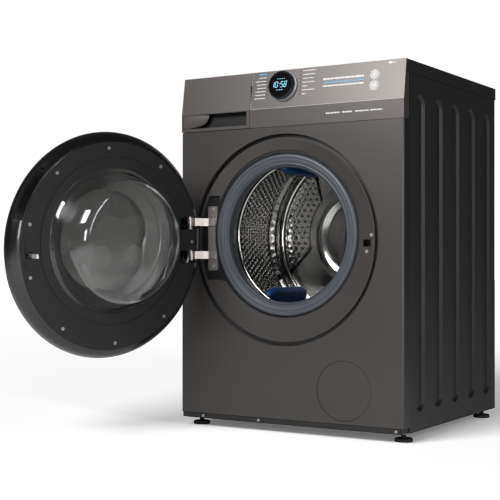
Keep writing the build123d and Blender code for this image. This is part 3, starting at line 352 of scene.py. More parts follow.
def mesh_piece(name, points, faces, material, body=None, smooth=40, closed=True):
    """A mesh object from points in metres, with outward faces and smooth shading below an angle."""
    mesh = bpy.data.meshes.new(name)
    mesh.from_pydata([tuple(p) for p in points], [], faces)
    work = bmesh.new()
    work.from_mesh(mesh)
    bmesh.ops.remove_doubles(work, verts=work.verts, dist=1e-6)
    if closed:
        bmesh.ops.recalc_face_normals(work, faces=work.faces)
    work.to_mesh(mesh)
    work.free()
    return place_piece(name, mesh, material, body, smooth)


def place_piece(name, mesh, material, body=None, smooth=40):
    """Links a mesh as a piece of this object and lets it ride on its body."""
    mesh.polygons.foreach_set("use_smooth", [True] * len(mesh.polygons))
    if smooth < 180:
        mesh.set_sharp_from_angle(angle=math.radians(smooth))
    piece = bpy.data.objects.new(name, mesh)
    bpy.context.scene.collection.objects.link(piece)
    if material:
        wear(piece, material)
    if body:
        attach(piece, body)
    return piece


def turned(section, centre, steps=160):
    """Points in metres and faces of a closed section of (radius, depth) in mm turned about Y."""
    points, faces = [], []
    count = len(section)
    for s in range(steps):
        angle = 2 * math.pi * s / steps
        for radius, depth in section:
            points.append(((centre[0] + radius * math.cos(angle)) * MM, depth * MM,
                           (centre[1] + radius * math.sin(angle)) * MM))
    for s in range(steps):
        a, b = s * count, (s + 1) % steps * count
        for i in range(count):
            j = (i + 1) % count
            faces.append((a + i, a + j, b + j, b + i))
    return points, faces


def closed_to_open(points):
    """Turns points of the closed door to where the door stands open at rest."""
    joint = next(j for j in frame["joints"] if j["name"] == "door_hinge")
    pivot = Vector(joint["pos_m"])
    turn = Matrix.Rotation(-math.radians(joint["range_deg"][1]), 3, Vector(joint["axis"]))
    return [turn @ (Vector(p) - pivot) + pivot for p in points]


drum_centre = (-12.0, 464.0)
door_centre = (-12.0, 452.0)
print("drum centre", drum_centre, "door centre", door_centre)

# %% [markdown]
# ## Door gasket
# The gasket is a moulded rubber bellows. Its face is a broad rounded band with fine ridges, and
# a thin lip that seals on the glass. Its front edge is clamped to the cabinet and its neck to
# the tub, which bounces on springs, so the real rubber bends between the two; here the piece is one fixed
# turned mesh.

# %% Door gasket
gasket_face = [(190.4, 19), (190.4, 12.5), (187.5, 8.6), (183.5, 7.4), (181.2, 7.4), (180.2, 9.0),
               (178.8, 9.0), (177.8, 7.6), (170.5, 8.6), (169.3, 10.6), (167.6, 10.4), (166.4, 9.9),
               (162.5, 13.5), (161.2, 16.4), (159.6, 17.0), (158.3, 22.0), (157.9, 25.5), (159.3, 29.0)]
gasket_back = [(163.5, 30.0), (167.5, 35.0), (168.8, 52.0), (175.0, 67.0), (177.6, 80.8), (181.2, 80.8),
               (180.0, 67.0), (175.8, 52.0), (175.8, 40.0), (183.0, 29.0)]
gasket_section = soften(gasket_face + gasket_back, 1.6, 3)
gasket = mesh_piece("gasket_bellows", *turned(gasket_section, drum_centre, 192), grey_rubber)
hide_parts("door_gasket")
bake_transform(gasket)
print("gasket faces", len(gasket.data.polygons))

# %% [markdown]
# ## Drum wall
# The drum wall is rolled stainless steel, embossed with a honeycomb of small cushions with a
# hole in each, so that cloth slides on a film of water. It repeats over two thousand times, so
# one hexagonal cell is modelled and Geometry Nodes lays it around the cylinder.

# %% Geometry node helpers
def node_group(name, inputs):
    """An empty geometry node tree with named inputs of (type, default) and a geometry output."""
    tree = bpy.data.node_groups.new(name, "GeometryNodeTree")
    tree.interface.new_socket("Geometry", in_out="INPUT", socket_type="NodeSocketGeometry")
    for label, (kind, value) in inputs.items():
        socket = tree.interface.new_socket(label, in_out="INPUT", socket_type=kind)
        if value is not None:
            socket.default_value = value
    tree.interface.new_socket("Geometry", in_out="OUTPUT", socket_type="NodeSocketGeometry")
    return tree, add(tree, "NodeGroupInput")


def close_group(tree, geometry, material_from, merge=None):
    """Ends a tree with Realize Instances, an optional merge, Set Material and the output."""
    real = add(tree, "GeometryNodeRealizeInstances", {}, {"Geometry": geometry})
    last = (real, "Geometry")
    if merge:
        welded = add(tree, "GeometryNodeMergeByDistance", {}, {"Geometry": last, "Distance": merge})
        last = (welded, "Geometry")
    dressed = add(tree, "GeometryNodeSetMaterial", {}, {"Geometry": last, "Material": material_from})
    add(tree, "NodeGroupOutput", {}, {"Geometry": (dressed, "Geometry")})


def grown(name, tree, values, body, seed_mesh=None, smooth=40):
    """Runs a geometry node tree with named input values and keeps the result as a plain piece."""
    holder = bpy.data.objects.new(name + "_seed", seed_mesh or bpy.data.meshes.new(name + "_seed"))
    bpy.context.scene.collection.objects.link(holder)
    modifier = holder.modifiers.new("grow", "NODES")
    modifier.node_group = tree
    for socket in tree.interface.items_tree:
        if socket.in_out == "INPUT" and socket.name in values:
            modifier[socket.identifier] = values[socket.name]
    graph = bpy.context.evaluated_depsgraph_get()
    mesh = bpy.data.meshes.new_from_object(holder.evaluated_get(graph))
    mesh.name = name
    bpy.data.objects.remove(holder)
    piece = place_piece(name, mesh, None, body, smooth)
    print(name, "faces", len(mesh.polygons))
    return piece


def tile_object(name, rings, faces):
    """A small hidden mesh used only as the thing that a tree repeats."""
    mesh = bpy.data.meshes.new(name)
    mesh.from_pydata(rings, [], faces)
    return bpy.data.objects.new(name, mesh)


def hole_cell(name, pitch, hole, lift, sides=12):
    """A hexagonal cell around a hole: it rises to a rounded rim and turns down into the hole.

    The cell lies in XY with the hole along Z.
    """
    points, faces = [], []
    corner = pitch / math.sqrt(3)
    for k in range(sides):
        angle = 2 * math.pi * k / sides + math.pi / 6
        flat = math.cos(math.pi / 6) / math.cos((angle - math.pi / 6) % (math.pi / 3) - math.pi / 6)
        reach = corner * flat
        points.append((reach * math.cos(angle), reach * math.sin(angle), 0.0))
    for share, height in ((0.72, 0.35), (0.5, 0.8), (None, 1.0), (None, -0.2)):
        for k in range(sides):
            angle = 2 * math.pi * k / sides + math.pi / 6
            reach = hole if share is None else corner * share
            points.append((reach * math.cos(angle), reach * math.sin(angle), lift * height))
    for ring in range(4):
        for k in range(sides):
            a, b = ring * sides + k, ring * sides + (k + 1) % sides
            faces.append((a, b, b + sides, a + sides))
    return tile_object(name, points, faces)


print("geometry node helpers ready")

# %% [markdown]
# Each point's number gives its row and column. The column becomes an angle around the drum, with
# every second row shifted by half a cell, and the cell is turned there so that its hole faces in.

# %% Drum wall
wall_pitch = 14.2 * MM
wall_radius = 236.6 * MM
wall_start, wall_end = 100.0 * MM, 336.0 * MM
wall_columns = round(2 * math.pi * wall_radius / wall_pitch)
row_step = wall_pitch * math.sqrt(3) / 2
wall_rows = int((wall_end - wall_start) / row_step)
cell = hole_cell("wall_cell", 2 * math.pi * wall_radius / wall_columns, 2.1 * MM, 1.5 * MM)
tree, given = node_group("honeycomb_wall", {
    "Cell": ("NodeSocketObject", None), "Columns": ("NodeSocketInt", 100), "Rows": ("NodeSocketInt", 10),
    "Radius": ("NodeSocketFloat", 0.2), "Row step": ("NodeSocketFloat", 0.01),
    "Start": ("NodeSocketFloat", 0.1), "Steel": ("NodeSocketMaterial", None)})
total = maths(tree, "MULTIPLY", (given, "Columns"), (given, "Rows"))
spots = add(tree, "GeometryNodePoints", {}, {"Count": total})
number = (add(tree, "GeometryNodeInputIndex"), "Index")
row = maths(tree, "FLOOR", maths(tree, "DIVIDE", number, (given, "Columns")))
half = maths(tree, "MULTIPLY", maths(tree, "MODULO", row, 2.0), 0.5)
column = maths(tree, "ADD", maths(tree, "MODULO", number, (given, "Columns")), half)
angle = maths(tree, "MULTIPLY", maths(tree, "DIVIDE", column, (given, "Columns")), 2 * math.pi)
cosine, sine = maths(tree, "COSINE", angle), maths(tree, "SINE", angle)
across = maths(tree, "MULTIPLY", cosine, (given, "Radius"))
upward = maths(tree, "MULTIPLY", sine, (given, "Radius"))
inward = maths(tree, "MULTIPLY_ADD", row, (given, "Row step"), (given, "Start"))
place = add(tree, "ShaderNodeCombineXYZ", {}, {"X": across, "Y": inward, "Z": upward})
moved = add(tree, "GeometryNodeSetPosition", {}, {
    "Geometry": (spots, "Points"), "Position": (place, "Vector")})
normal = add(tree, "ShaderNodeCombineXYZ", {}, {"X": cosine, "Z": sine})
facing = add(tree, "ShaderNodeVectorMath", {"operation": "SCALE"}, {0: (normal, "Vector"), "Scale": -1.0})
turn = add(tree, "FunctionNodeAlignRotationToVector", {"axis": "Z"}, {"Vector": (facing, "Vector")})
turn = add(tree, "FunctionNodeAlignRotationToVector", {"axis": "Y", "pivot_axis": "Z"},
           {"Rotation": (turn, "Rotation"), "Vector": (0.0, 1.0, 0.0)})
shape = add(tree, "GeometryNodeObjectInfo", {}, {"Object": (given, "Cell")})
copies = add(tree, "GeometryNodeInstanceOnPoints", {}, {
    "Points": (moved, "Geometry"), "Instance": (shape, "Geometry"), "Rotation": (turn, "Rotation")})
shifted = add(tree, "GeometryNodeTransform", {}, {
    "Geometry": (copies, "Instances"), "Translation": (drum_centre[0] * MM, 0.0, drum_centre[1] * MM)})
close_group(tree, (shifted, "Geometry"), (given, "Steel"), merge=0.0012)
wall = grown("drum_wall", tree, {
    "Cell": cell, "Columns": wall_columns, "Rows": wall_rows, "Radius": wall_radius, "Row step": row_step,
    "Start": wall_start, "Steel": wall_steel}, "drum", smooth=60)
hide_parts("drum_shell")

# %% [markdown]
# The wall ends in two turned rims. At the front the sheet dishes inwards to the mouth and its edge
# is rolled; at the back a bead and a bend lead over to the back plate.

# %% Drum rims
last_row = wall_start / MM + (wall_rows - 1) * row_step / MM
front_rim = [(236.9, 104), (236.6, 98), (234, 92), (227, 87.5), (215, 86), (190, 85.6), (180, 84.8),
             (175, 85.2), (172.6, 87.4), (172.2, 90), (173.4, 92), (176, 91.6), (177.6, 89.4), (182, 87.6),
             (215, 88.4), (228, 90), (236, 95), (237.9, 100), (237.9, 104)]
rear_rim = [(237.2, last_row - 4), (236.2, last_row + 4), (233.4, last_row + 8), (233.2, last_row + 12),
            (236.6, last_row + 17), (236.8, 362), (233.8, 368), (233.8, 373), (236.8, 379), (236.6, 388),
            (233.5, 395.5), (227, 398.6), (222, 399.4), (222, 400.4), (234, 400.4), (237.9, 394),
            (237.9, last_row - 4)]
for name, section in (("drum_front_rim", soften(front_rim, 1.5, 2)),
                      ("drum_rear_bend", soften(rear_rim, 2.0, 3))):
    rim = mesh_piece(name, *turned(section, drum_centre, 160), drum_steel, "drum")
    print(name, "faces", len(rim.data.polygons))

# %% [markdown]
# ## Drum back plate
# The back is pressed in one stroke: a smooth star carries the load to the shaft, and between its
# three broad arms lie perforated fields. The star's height follows a rule, the distance to the
# edge of the field, so it is made as a surface computed point by point.

# %% Drum back plate
arm_angles = (225.0, 345.0, 105.0)
arm_half = 84.0
field_inner, field_outer = 150.0, 222.0


def field_depth(x, z):
    """How far a point lies inside a perforated field, in mm; negative outside."""
    radius = math.hypot(x, z)
    depth = min(radius - field_inner, field_outer - radius)
    for arm in arm_angles:
        ax, az = math.cos(math.radians(arm)), math.sin(math.radians(arm))
        if x * ax + z * az > 0:
            depth = min(depth, abs(x * az - z * ax) - arm_half)
    return depth


def star_height(x, z):
    """Height of the pressed star towards the door, in mm."""
    radius = math.hypot(x, z)
    edge = min(1.0, max(0.0, (3.0 - field_depth(x, z)) / 11.0))
    height = 7.0 * edge * edge * (3 - 2 * edge) - 1.5
    for ridge, width, lift in ((112.0, 9.0, 4.0), (88.0, 10.0, -3.0), (30.0, 26.0, 9.0)):
        height += lift * math.exp(-((radius - ridge) / width) ** 2)
    lobe = 0.5 + 0.5 * math.cos(3 * (math.atan2(z, x) - math.radians(arm_angles[0])))
    return height + 5.0 * lobe * math.exp(-((radius - 60.0) / 34.0) ** 2)


star_points, star_faces, rings, spokes = [], [], 112, 240
for i in range(rings):
    radius = 232.0 * i / (rings - 1)
    for s in range(spokes):
        a = 2 * math.pi * s / spokes
        x, z = radius * math.cos(a), radius * math.sin(a)
        lift = star_height(x, z) if radius < 226 else -0.5 + 2.0 * (232 - radius) / 6
        star_points.append(((drum_centre[0] + x) * MM, (398.2 - lift) * MM, (drum_centre[1] + z) * MM))
for i in range(rings - 1):
    for s in range(spokes):
        a, b = i * spokes + s, i * spokes + (s + 1) % spokes
        middle = [sum(star_points[k][n] for k in (a, b, a + spokes, b + spokes)) / 4 for n in (0, 2)]
        if field_depth(middle[0] / MM - drum_centre[0], middle[1] / MM - drum_centre[1]) < 6.0:
            star_faces.append((a, a + spokes, b + spokes, b))
star = mesh_piece("drum_back_star", star_points, star_faces, drum_steel, None, closed=False)
solid = star.modifiers.new("sheet", "SOLIDIFY")
solid.thickness, solid.offset = 0.8 * MM, 0.0
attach(star, "drum")
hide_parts("drum_back")
print("star faces", len(star_faces))

# %% [markdown]
# The fields use the same kind of cell as the wall, flat this time. A second, simpler tree repeats
# one thing on any set of points.

# %% Perforated fields of the back plate
back_pitch = 17.0
back_cell = hole_cell("back_cell", back_pitch * MM, 2.9 * MM, 0.5 * MM)
spots = []
for row_number in range(-16, 17):
    for column_number in range(-16, 17):
        x = (column_number + 0.5 * (row_number % 2)) * back_pitch
        z = row_number * back_pitch * math.sqrt(3) / 2
        if field_depth(x, z) > -9.0:
            spots.append(((drum_centre[0] + x) * MM, 398.4 * MM, (drum_centre[1] + z) * MM))
spot_mesh = bpy.data.meshes.new("field_spots")
spot_mesh.from_pydata(spots, [], [])
tree, given = node_group("repeat_on_points", {
    "Part": ("NodeSocketObject", None), "Turn": ("NodeSocketRotation", None),
    "Finish": ("NodeSocketMaterial", None)})
shape = add(tree, "GeometryNodeObjectInfo", {}, {"Object": (given, "Part")})
copies = add(tree, "GeometryNodeInstanceOnPoints", {}, {
    "Points": (given, "Geometry"), "Instance": (shape, "Geometry"), "Rotation": (given, "Turn")})
close_group(tree, (copies, "Instances"), (given, "Finish"), merge=0.0004)
fields = grown("drum_back_fields", tree, {
    "Part": back_cell, "Turn": (math.radians(90), 0.0, 0.0), "Finish": drum_steel
}, "drum", spot_mesh, smooth=60)

# %% [markdown]
# ## Lifters
# Three blue paddles lift the laundry. Each is a hollow moulding with a rounded crown and a comb
# of drain slots along both flanks. The body is lofted from cross-sections, and the bars between
# the slots are added one by one along each flank.

# %% Lifters
paddle_angles = (232.0, 112.0, 352.0)
paddle_front, paddle_back = 102.0, 322.0
paddle_section = [(236, 31), (222, 26), (206, 19.5), (190, 14.5), (176, 11.5), (168, 9), (164, 5.5),
                  (163, 0)]
paddle_section += [(r, -w) for r, w in reversed(paddle_section[:-1])]


def on_drum(radius, along, side, degrees_round):
    """A point at a radius and sideways offset in a paddle's frame, in metres."""
    a = math.radians(degrees_round)
    x = radius * math.cos(a) - side * math.sin(a)
    z = radius * math.sin(a) + side * math.cos(a)
    return Vector(((drum_centre[0] + x) * MM, along * MM, (drum_centre[1] + z) * MM))


def paddle(degrees_round):
    """Points and faces of one paddle with sloping, rounded ends."""
    stations = [(0.0, 0.0), (0.02, 0.45), (0.05, 0.72), (0.1, 0.9), (0.17, 0.985), (0.3, 1.0), (0.5, 0.97),
                (0.7, 1.0), (0.83, 0.985), (0.91, 0.9), (0.96, 0.72), (0.985, 0.45), (1.0, 0.0)]
    points, faces = [], []
    count = len(paddle_section)
    for share, fill in stations:
        along = paddle_front + share * (paddle_back - paddle_front)
        for radius, side in paddle_section:
            rise, spread = 236 - (236 - radius) * fill, side * (0.55 + 0.45 * fill)
            points.append(on_drum(rise, along, spread, degrees_round))
    for k in range(len(stations) - 1):
        for i in range(count - 1):
            a = k * count + i
            faces.append((a, a + 1, a + 1 + count, a + count))
        faces.append((k * count + count - 1, k * count, (k + 1) * count, (k + 1) * count + count - 1))
    return points, faces


lifter_points, lifter_faces = [], []
for angle_round in paddle_angles:
    points, faces = paddle(angle_round)
    start = len(lifter_points)
    lifter_points += points
    lifter_faces += [tuple(i + start for i in face) for face in faces]
lifters = mesh_piece("drum_paddles", lifter_points, lifter_faces, blue_abs, None, smooth=60)
rounding = lifters.modifiers.new("round", "SUBSURF")
rounding.levels = rounding.render_levels = 2
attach(lifters, "drum")
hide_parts("drum_lifters")


def bar_mesh(points, faces, low, high, half_width):
    """Adds a small bevelled bar between two points to a list of points and faces."""
    axis = (high - low).normalized()
    along = Vector((0, 1, 0))
    out = axis.cross(along).normalized()
    start = len(points)
    for end in (low, high):
        for dy, dn in ((-1, -0.2), (1, -0.2), (0.55, 1), (-0.55, 1)):
            points.append(end + along * dy * half_width + out * dn * half_width)
    faces += [tuple(start + i for i in f) for f in
              ((0, 1, 5, 4), (1, 2, 6, 5), (2, 3, 7, 6), (3, 0, 4, 7), (3, 2, 1, 0), (4, 5, 6, 7))]


comb_points, comb_faces, bar_count, bar_pitch = [], [], 19, 8.6
for angle_round in paddle_angles:
    for side in (-1, 1):
        for n in range(bar_count):
            along = paddle_front + 32 + n * bar_pitch
            low = on_drum(206, along, side * 19.0, angle_round)
            high = on_drum(184, along, side * 12.8, angle_round)
            bar_mesh(comb_points, comb_faces, low, high, 1.5 * MM)
comb = mesh_piece("drum_paddle_combs", comb_points, comb_faces, blue_abs, "drum")
print("paddle faces", len(lifter_faces), "comb faces", len(comb_faces))

# %% [markdown]
# ## Door glass
# The door has three see-through layers: a thick pressed glass bowl that pushes the laundry back,
# a silver funnel behind it, and the smoked outer window. Glass needs true wall thickness and a
# smooth, finely turned surface, so the bowl is turned again here with more steps than the CAD.

# %% Door glass
def door_turned(name, section, centre, material, replaced, reach):
    """A turned piece of the closed door, turned open and riding on the door."""
    points, faces = turned(soften(section, reach, 4), centre, 192)
    piece = mesh_piece(name, closed_to_open(points), faces, material, "door")
    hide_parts(replaced)


bowl_outer = [(0.02, 87.0), (60, 86.4), (104, 83.8), (121, 81.0), (130.5, 75.6), (136, 68.5),
              (140.5, 58.0), (151, 22.0), (158.5, 4.5), (164, -2.5), (171, -4.2), (175.9, -4.3),
              (175.9, -8.0)]
bowl_inner = [(168.5, -8.1), (160.5, -6.2), (154.8, 1.8), (147.2, 21.0), (136.4, 57.4), (132.0, 66.2),
              (127.4, 72.2), (119.4, 76.9), (103.2, 79.7), (60, 82.3), (0.02, 82.9)]
door_turned("door_glass_bowl", bowl_outer + bowl_inner, drum_centre, clear_glass, "door_bowl",
            reach=4.0)
funnel_section = [(167.8, -8.8), (169.2, -8.8), (169.2, -10.6), (120, -36.0), (117.0, -37.0),
                  (116.2, -36.0), (118.5, -34.4), (140, -23.0), (143, -22.6), (146, -20.0)]
door_turned("door_funnel", funnel_section, drum_centre, silver_abs, "door_trim_ring",
            reach=1.0)
window_section = [(0.02, -55.9), (60, -55.3), (120, -53.5), (170, -51.2), (188, -50.1), (189.6, -49.2),
                  (189.6, -47.4), (170, -48.3), (120, -50.6), (60, -52.4), (0.02, -53.0)]
door_turned("door_outer_window", window_section, door_centre, smoked_glass, "door_window",
            reach=1.0)
print("door glass done")

# %% [markdown]
# ## Suspension and hose
# Two pieces inside also stretch when the tub bounces: the springs and the sump hose. The springs
# are real coils made as a curve with a round bevel, and the hose is corrugated so it can flex.

# %% Springs and hose
def coil(name, low, high, radius, wire, turns):
    """A wound spring between two points, as a mesh."""
    curve = bpy.data.curves.new(name, "CURVE")
    curve.dimensions, curve.bevel_depth, curve.bevel_resolution = "3D", wire, 2
    spline = curve.splines.new("POLY")
    count = int(turns * 18) + 1
    axis = (high - low).normalized()
    side = axis.cross(Vector((0, 1, 0))).normalized()
    front = axis.cross(side)
    spline.points.add(count - 1)
    for k in range(count):
        a = 2 * math.pi * k / 18
        p = low.lerp(high, k / (count - 1)) + radius * (math.cos(a) * side + math.sin(a) * front)
        spline.points[k].co = (*p, 1.0)
    curve.use_fill_caps = True
    holder = bpy.data.objects.new(name, curve)
    bpy.context.scene.collection.objects.link(holder)
    mesh = bpy.data.meshes.new_from_object(holder.evaluated_get(bpy.context.evaluated_depsgraph_get()))
    bpy.data.objects.remove(holder)
    return mesh


spring_depth = 0.365
spring_ends = [((-249.0, 604.0), (-273.0, 806.0)), ((225.0, 604.0), (273.0, 806.0))]
for side_name, (low, high) in zip(("left", "right"), spring_ends):
    foot, head = (Vector((x * MM, spring_depth, z * MM)) for x, z in (low, high))
    mesh = coil("tub_spring_" + side_name, foot, head, radius=8.2 * MM, wire=1.5 * MM, turns=22)
    spring = place_piece("tub_spring_" + side_name, mesh, dark_steel, None, 60)
    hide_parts("tub_springs")
    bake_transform(spring)

hose_points, hose_faces, hose_rows, hose_steps = [], [], 49, 40
hose_x, hose_y, hose_foot, hose_length, rows_per_fold = 148, 125, 158.0, 80.0, 6
for row_number in range(hose_rows):
    height = hose_foot + hose_length * row_number / (hose_rows - 1)
    outer = 20.4 + 1.0 * math.cos(2 * math.pi * row_number / rows_per_fold)
    for s in range(hose_steps):
        a = 2 * math.pi * s / hose_steps
        x, y = hose_x + outer * math.cos(a), hose_y + outer * math.sin(a)
        hose_points.append((x * MM, y * MM, height * MM))
for row_number in range(hose_rows - 1):
    for s in range(hose_steps):
        a, b = row_number * hose_steps + s, row_number * hose_steps + (s + 1) % hose_steps
        hose_faces.append((a, b, b + hose_steps, a + hose_steps))
hose = mesh_piece("sump_bellows", hose_points, hose_faces, black_rubber, None, closed=False)
hose_wall = hose.modifiers.new("wall", "SOLIDIFY")
hose_wall.thickness, hose_wall.offset = 1.6 * MM, -1.0
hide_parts("sump_hose")
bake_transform(hose)

# %% [markdown]
# ## Marks on the control panel
# The panel carries screen-printed rows and rings and a lit display. The rows are given here as
# plain dashes, because wording belongs to one maker. Each mark is a very thin plate that sits on
# the leaning face, so it has a real edge.

# %% Panel mark helpers
def on_panel(x, up, out=0.0):
    """A point in metres on the leaning face: x and the height up the slope in mm, out from it."""
    base = Vector((x, up * math.sin(lean), crease + up * math.cos(lean)))
    return (base + face_out * out) * MM


def on_front(x, z, out=0.0):
    """A point in metres on the upright band below the crease."""
    return Vector((x, -out, z)) * MM


def plate(points, faces, outline, at, out, thick=0.12):
    """Adds a thin plate with the given outline of (x, up) corners."""
    start, count = len(points), len(outline)
    points += [at(x, up, out) for x, up in outline] + [at(x, up, out + thick) for x, up in outline]
    faces.append(tuple(start + i for i in reversed(range(count))))
    faces.append(tuple(start + count + i for i in range(count)))
    for i in range(count):
        j = (i + 1) % count
        faces.append((start + i, start + j, start + count + j, start + count + i))


def bar(points, faces, x0, x1, middle, tall, at, out=-0.02, slant=0.0):
    """Adds a plain dash."""
    low, high = middle - tall / 2, middle + tall / 2
    outline = [(x0 - slant * tall / 2, low), (x1 - slant * tall / 2, low), (x1 + slant * tall / 2, high),
               (x0 + slant * tall / 2, high)]
    plate(points, faces, outline, at, out)


def band_ring(points, faces, centre, inner, outer, at, out=-0.02, start=0.0, end=360.0, steps=48):
    """Adds an arc or a full ring as short plates."""
    for k in range(steps):
        a, b = (math.radians(start + (end - start) * (k + n) / steps) for n in (0, 1))
        outline = [(centre[0] + r * math.cos(q), centre[1] + r * math.sin(q))
                   for r, q in ((inner, a), (outer, a), (outer, b), (inner, b))]
        plate(points, faces, outline, at, out)


def dash_row(points, faces, x0, x1, middle, tall, at, seed):
    """A row of uneven dashes, as small print looks from where a user stands."""
    pick = random.Random(seed)
    x = x0
    while x < x1 - 1.0:
        long = min(pick.uniform(1.4, 4.2), x1 - x)
        bar(points, faces, x, x + long, middle, tall * pick.uniform(0.7, 1.0), at)
        x += long + pick.uniform(0.7, 1.3)


print("the panel leans by", round(math.degrees(lean), 2), "degrees")

# %% [markdown]
# The programme rows stand left and right of the dial, the options in three rows on the right, and
# one row on the upright band below. All sizes are millimetres up the slope from the crease.

# %% Panel marks
white, black, blue = ([], []), ([], []), ([], [])
top_row, left_step, right_step = 84.0, 8.3, 9.2
left_ends = (-80, -90, -86, -85, -88, -88, -89)
right_ends = (72, 72, 66, 70, 52, 72, 48)
for n in range(8):
    left_up, right_up = top_row - left_step * n, top_row - right_step * n
    if n:
        dash_row(*white, left_ends[n - 1], -60.5, left_up, 2.2, on_panel, 10 + n)
    if n < 7:
        dash_row(*white, 38.0, right_ends[n], right_up, 2.2, on_panel, 30 + n)
        bar(*black, 30.5, 35.0, right_up, 2.6, on_panel)
    if n > 3:
        bar(*black, -57.5, -53.0, left_up, 2.6, on_panel)
bar(*blue, -80.0, -60.5, top_row, 3.2, on_panel)
bar(*blue, 94.0, 196.0, 50.5, 2.6, on_panel)
dash_row(*white, 92.0, 196.0, 59.0, 4.6, on_panel, 3)
dash_row(*white, 92.0, 196.0, 42.5, 3.8, on_panel, 4)
for x0, x1, seed in ((104, 139, 5), (146, 170, 6), (178, 212, 7), (216, 247, 8)):
    dash_row(*white, x0, x1, 739.0, 3.4, on_front, seed)
bar(*white, 255.0, 264.0, 83.5, 4.2, on_panel)
dash_row(*white, 266.0, 273.5, 83.5, 2.6, on_panel, 9)
bar(*white, -98.0, 297.0, 0.5, 0.35, on_panel)
for n in range(12):
    bar(*white, -98.9, -98.3, 6.0 + 7.0 * n, 3.4, on_panel)
key_x, start_up, power_up = 223.0, 34.5, 59.5
for up in (start_up, power_up):
    band_ring(*white, (key_x, up), 10.2, 11.2, on_panel)
for name, (points, faces), material in (("panel_white_print", white, white_print),
                                        ("panel_black_print", black, black_print),
                                        ("panel_blue_print", blue, blue_print)):
    mesh_piece(name, points, faces, material, "cabinet")
    print(name, "faces", len(faces))

# %% [markdown]
# A metallic tongue curves out of the left end of the finger recess and shows where to pull. It is
# a thin curved plate that runs from the recess's left wall to a rounded tip.

# %% Recess tongue
tongue_points, tongue_faces = [], []
tongue_steps, tongue_left, tongue_low, tongue_high = 14, -292.4, 725.6, 757.6
for k in range(tongue_steps + 1):
    share = k / tongue_steps
    height = tongue_low + (tongue_high - tongue_low) * share
    reach = 22.0 + 49.0 * math.sqrt(max(0.0, 1 - (1 - share) ** 2))
    for across, y in ((0, 0.6), (0.7, 2.0), (1, 7.0), (1, 8.6), (0.7, 3.4), (0, 2.0)):
        tongue_points.append(Vector((tongue_left + reach * across, y, height)) * MM)
for k in range(tongue_steps):
    for i in range(6):
        a, b = k * 6 + i, k * 6 + (i + 1) % 6
        tongue_faces.append((a, b, b + 6, a + 6))
tongue_faces += [tuple(range(5, -1, -1)), tuple(tongue_steps * 6 + i for i in range(6))]
tongue = mesh_piece("drawer_tongue", tongue_points, tongue_faces, titanium_abs, "drawer", smooth=60)
print("tongue faces", len(tongue.data.polygons))

# %% [markdown]
# Each key has a raised symbol: a broken ring with a stroke for power, and a triangle with two
# bars for start and pause. They ride on the keys, so they sink with them when pressed.

# %% Key symbols
power_mark, start_mark = ([], []), ([], [])
key_top = 0.72
band_ring(*power_mark, (key_x, power_up), 3.2, 4.1, on_panel, key_top, 125.0, 415.0, 32)
bar(*power_mark, 222.55, 223.45, 62.4, 3.6, on_panel, key_top)
plate(*start_mark, [(218.8, 32.0), (222.6, start_up), (218.8, 37.0)], on_panel, key_top)
bar(*start_mark, 223.8, 224.7, start_up, 5.0, on_panel, key_top)
bar(*start_mark, 225.9, 226.8, start_up, 5.0, on_panel, key_top)
mesh_piece("power_symbol", *power_mark, white_print, "upper_key")
mesh_piece("start_symbol", *start_mark, white_print, "lower_key")
print("symbol faces", len(power_mark[1]), len(start_mark[1]))

# %% [markdown]
# The display sits behind dark acrylic in the middle of the dial and stays still while the ring
# around it turns. Its digits are seven-segment shapes, slanted a little, and shine pale blue.

# %% Display digits
lens_front = max((Vector(vertex.co) / MM - Vector((0, 0, crease))).dot(face_out)
                 for vertex in nodes["display_lens"].data.vertices)
dial_up = 51.0
digits = ([], [])
segments = {"0": "abcdef", "1": "bc", "5": "afgcd", "8": "abcdefg"}


def digit(symbol, x, up, wide=5.8, tall=13.0, stroke=0.95, slope=0.16):
    """One slanted seven-segment digit."""
    places = {"a": (0, 1, 1), "g": (0, 0.5, 1), "d": (0, 0, 1), "f": (0, 0.5, 0), "b": (1, 0.5, 0),
              "e": (0, 0, 0), "c": (1, 0, 0)}
    for key in segments[symbol]:
        px, py, flat = places[key]
        if flat:
            y = up + (py - 0.5) * tall
            left = x + slope * (y - up)
            bar(*digits, left + 0.5, left + wide - 0.5, y, stroke, on_panel, lens_front)
        else:
            y = up + (py - 0.25) * tall
            left = x + px * wide + slope * (y - up)
            bar(*digits, left - stroke / 2, left + stroke / 2, y, tall / 2 - 0.9, on_panel, lens_front, slope)


for symbol, x in (("1", -34.0), ("0", -24.5), ("5", -10.0), ("8", -1.0)):
    digit(symbol, x, dial_up)
for up in (dial_up - 2.2, dial_up + 2.2):
    bar(*digits, -14.6, -13.4, up, 1.2, on_panel, lens_front)
for x in (-20.5, -14.0, -7.5):
    bar(*digits, x, x + 3.0, dial_up - 13.0, 1.1, on_panel, lens_front)
for n in range(5):
    bar(*digits, -21.0 + 4.6 * n, -19.2 + 4.6 * n, dial_up + 13.5, 1.0, on_panel, lens_front)
mesh_piece("display_digits", *digits, digit_light, "cabinet")
print("lens front mm", round(lens_front, 2), "digits faces", len(digits[1]))

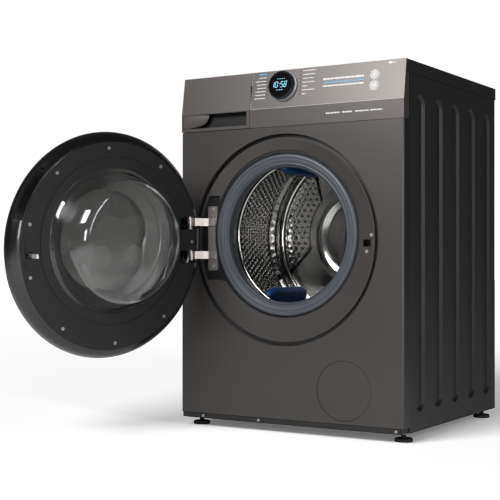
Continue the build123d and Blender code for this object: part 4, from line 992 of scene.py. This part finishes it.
# %% [markdown]
# ## Floor and light
# A plain pale floor and a white room keep attention on the machine. Dark glossy and metallic
# surfaces show what they mirror, so large soft lights are placed where the front, the side and
# the steel drum will reflect them.

# %% Floor and light
bpy.ops.mesh.primitive_plane_add(size=40.0, location=(0, 0, 0))
floor = bpy.context.object
floor.name = "floor"
pale_floor = finish("pale_floor", "#f6f6f6", 0.6, grain=40.0, bump=0.0, vary=0.01, rub=0.02,
                    Emission_Color=(1.0, 1.0, 1.0, 1.0), Emission_Strength=0.08)
wear(floor, pale_floor)
floor.is_shadow_catcher = True
world = bpy.data.worlds.new("room")
bpy.context.scene.world = world
world.use_nodes = True
room = world.node_tree
room.nodes.clear()
rays = add(room, "ShaderNodeLightPath")
seen = add(room, "ShaderNodeBackground", {}, {"Color": (1.0, 1.0, 1.0, 1.0), "Strength": 1.0})
lighting = add(room, "ShaderNodeBackground", {}, {"Color": (1.0, 1.0, 1.0, 1.0), "Strength": 0.08})
chosen = add(room, "ShaderNodeMixShader", {}, {0: (rays, "Is Camera Ray"), 1: (lighting, "Background"),
                                               2: (seen, "Background")})
add(room, "ShaderNodeOutputWorld", {}, {"Surface": (chosen, "Shader")})
bpy.context.scene.view_settings.view_transform = "Standard"


def soft_light(name, size, power, place, aim):
    """A rectangular area light that points at a spot."""
    data = bpy.data.lights.new(name, "AREA")
    data.shape, data.size, data.size_y, data.energy = "RECTANGLE", size[0], size[1], power
    light = bpy.data.objects.new(name, data)
    bpy.context.scene.collection.objects.link(light)
    light.location = place
    light.rotation_euler = (Vector(aim) - Vector(place)).to_track_quat("-Z", "Y").to_euler()


# name, size in metres, watts, place and the spot it aims at
soft_light("key", (1.5, 0.9), 85.0, (-0.3, -2.3, 1.85), (0.2, 0.0, 0.75))
soft_light("side_strip", (0.35, 1.6), 20.0, (2.6, -0.9, 1.1), (0.3, 0.25, 0.4))
soft_light("drum_fill", (0.35, 0.35), 6.0, (0.9, -1.6, 0.5), (-0.1, 0.3, 0.45))
print("lights done")
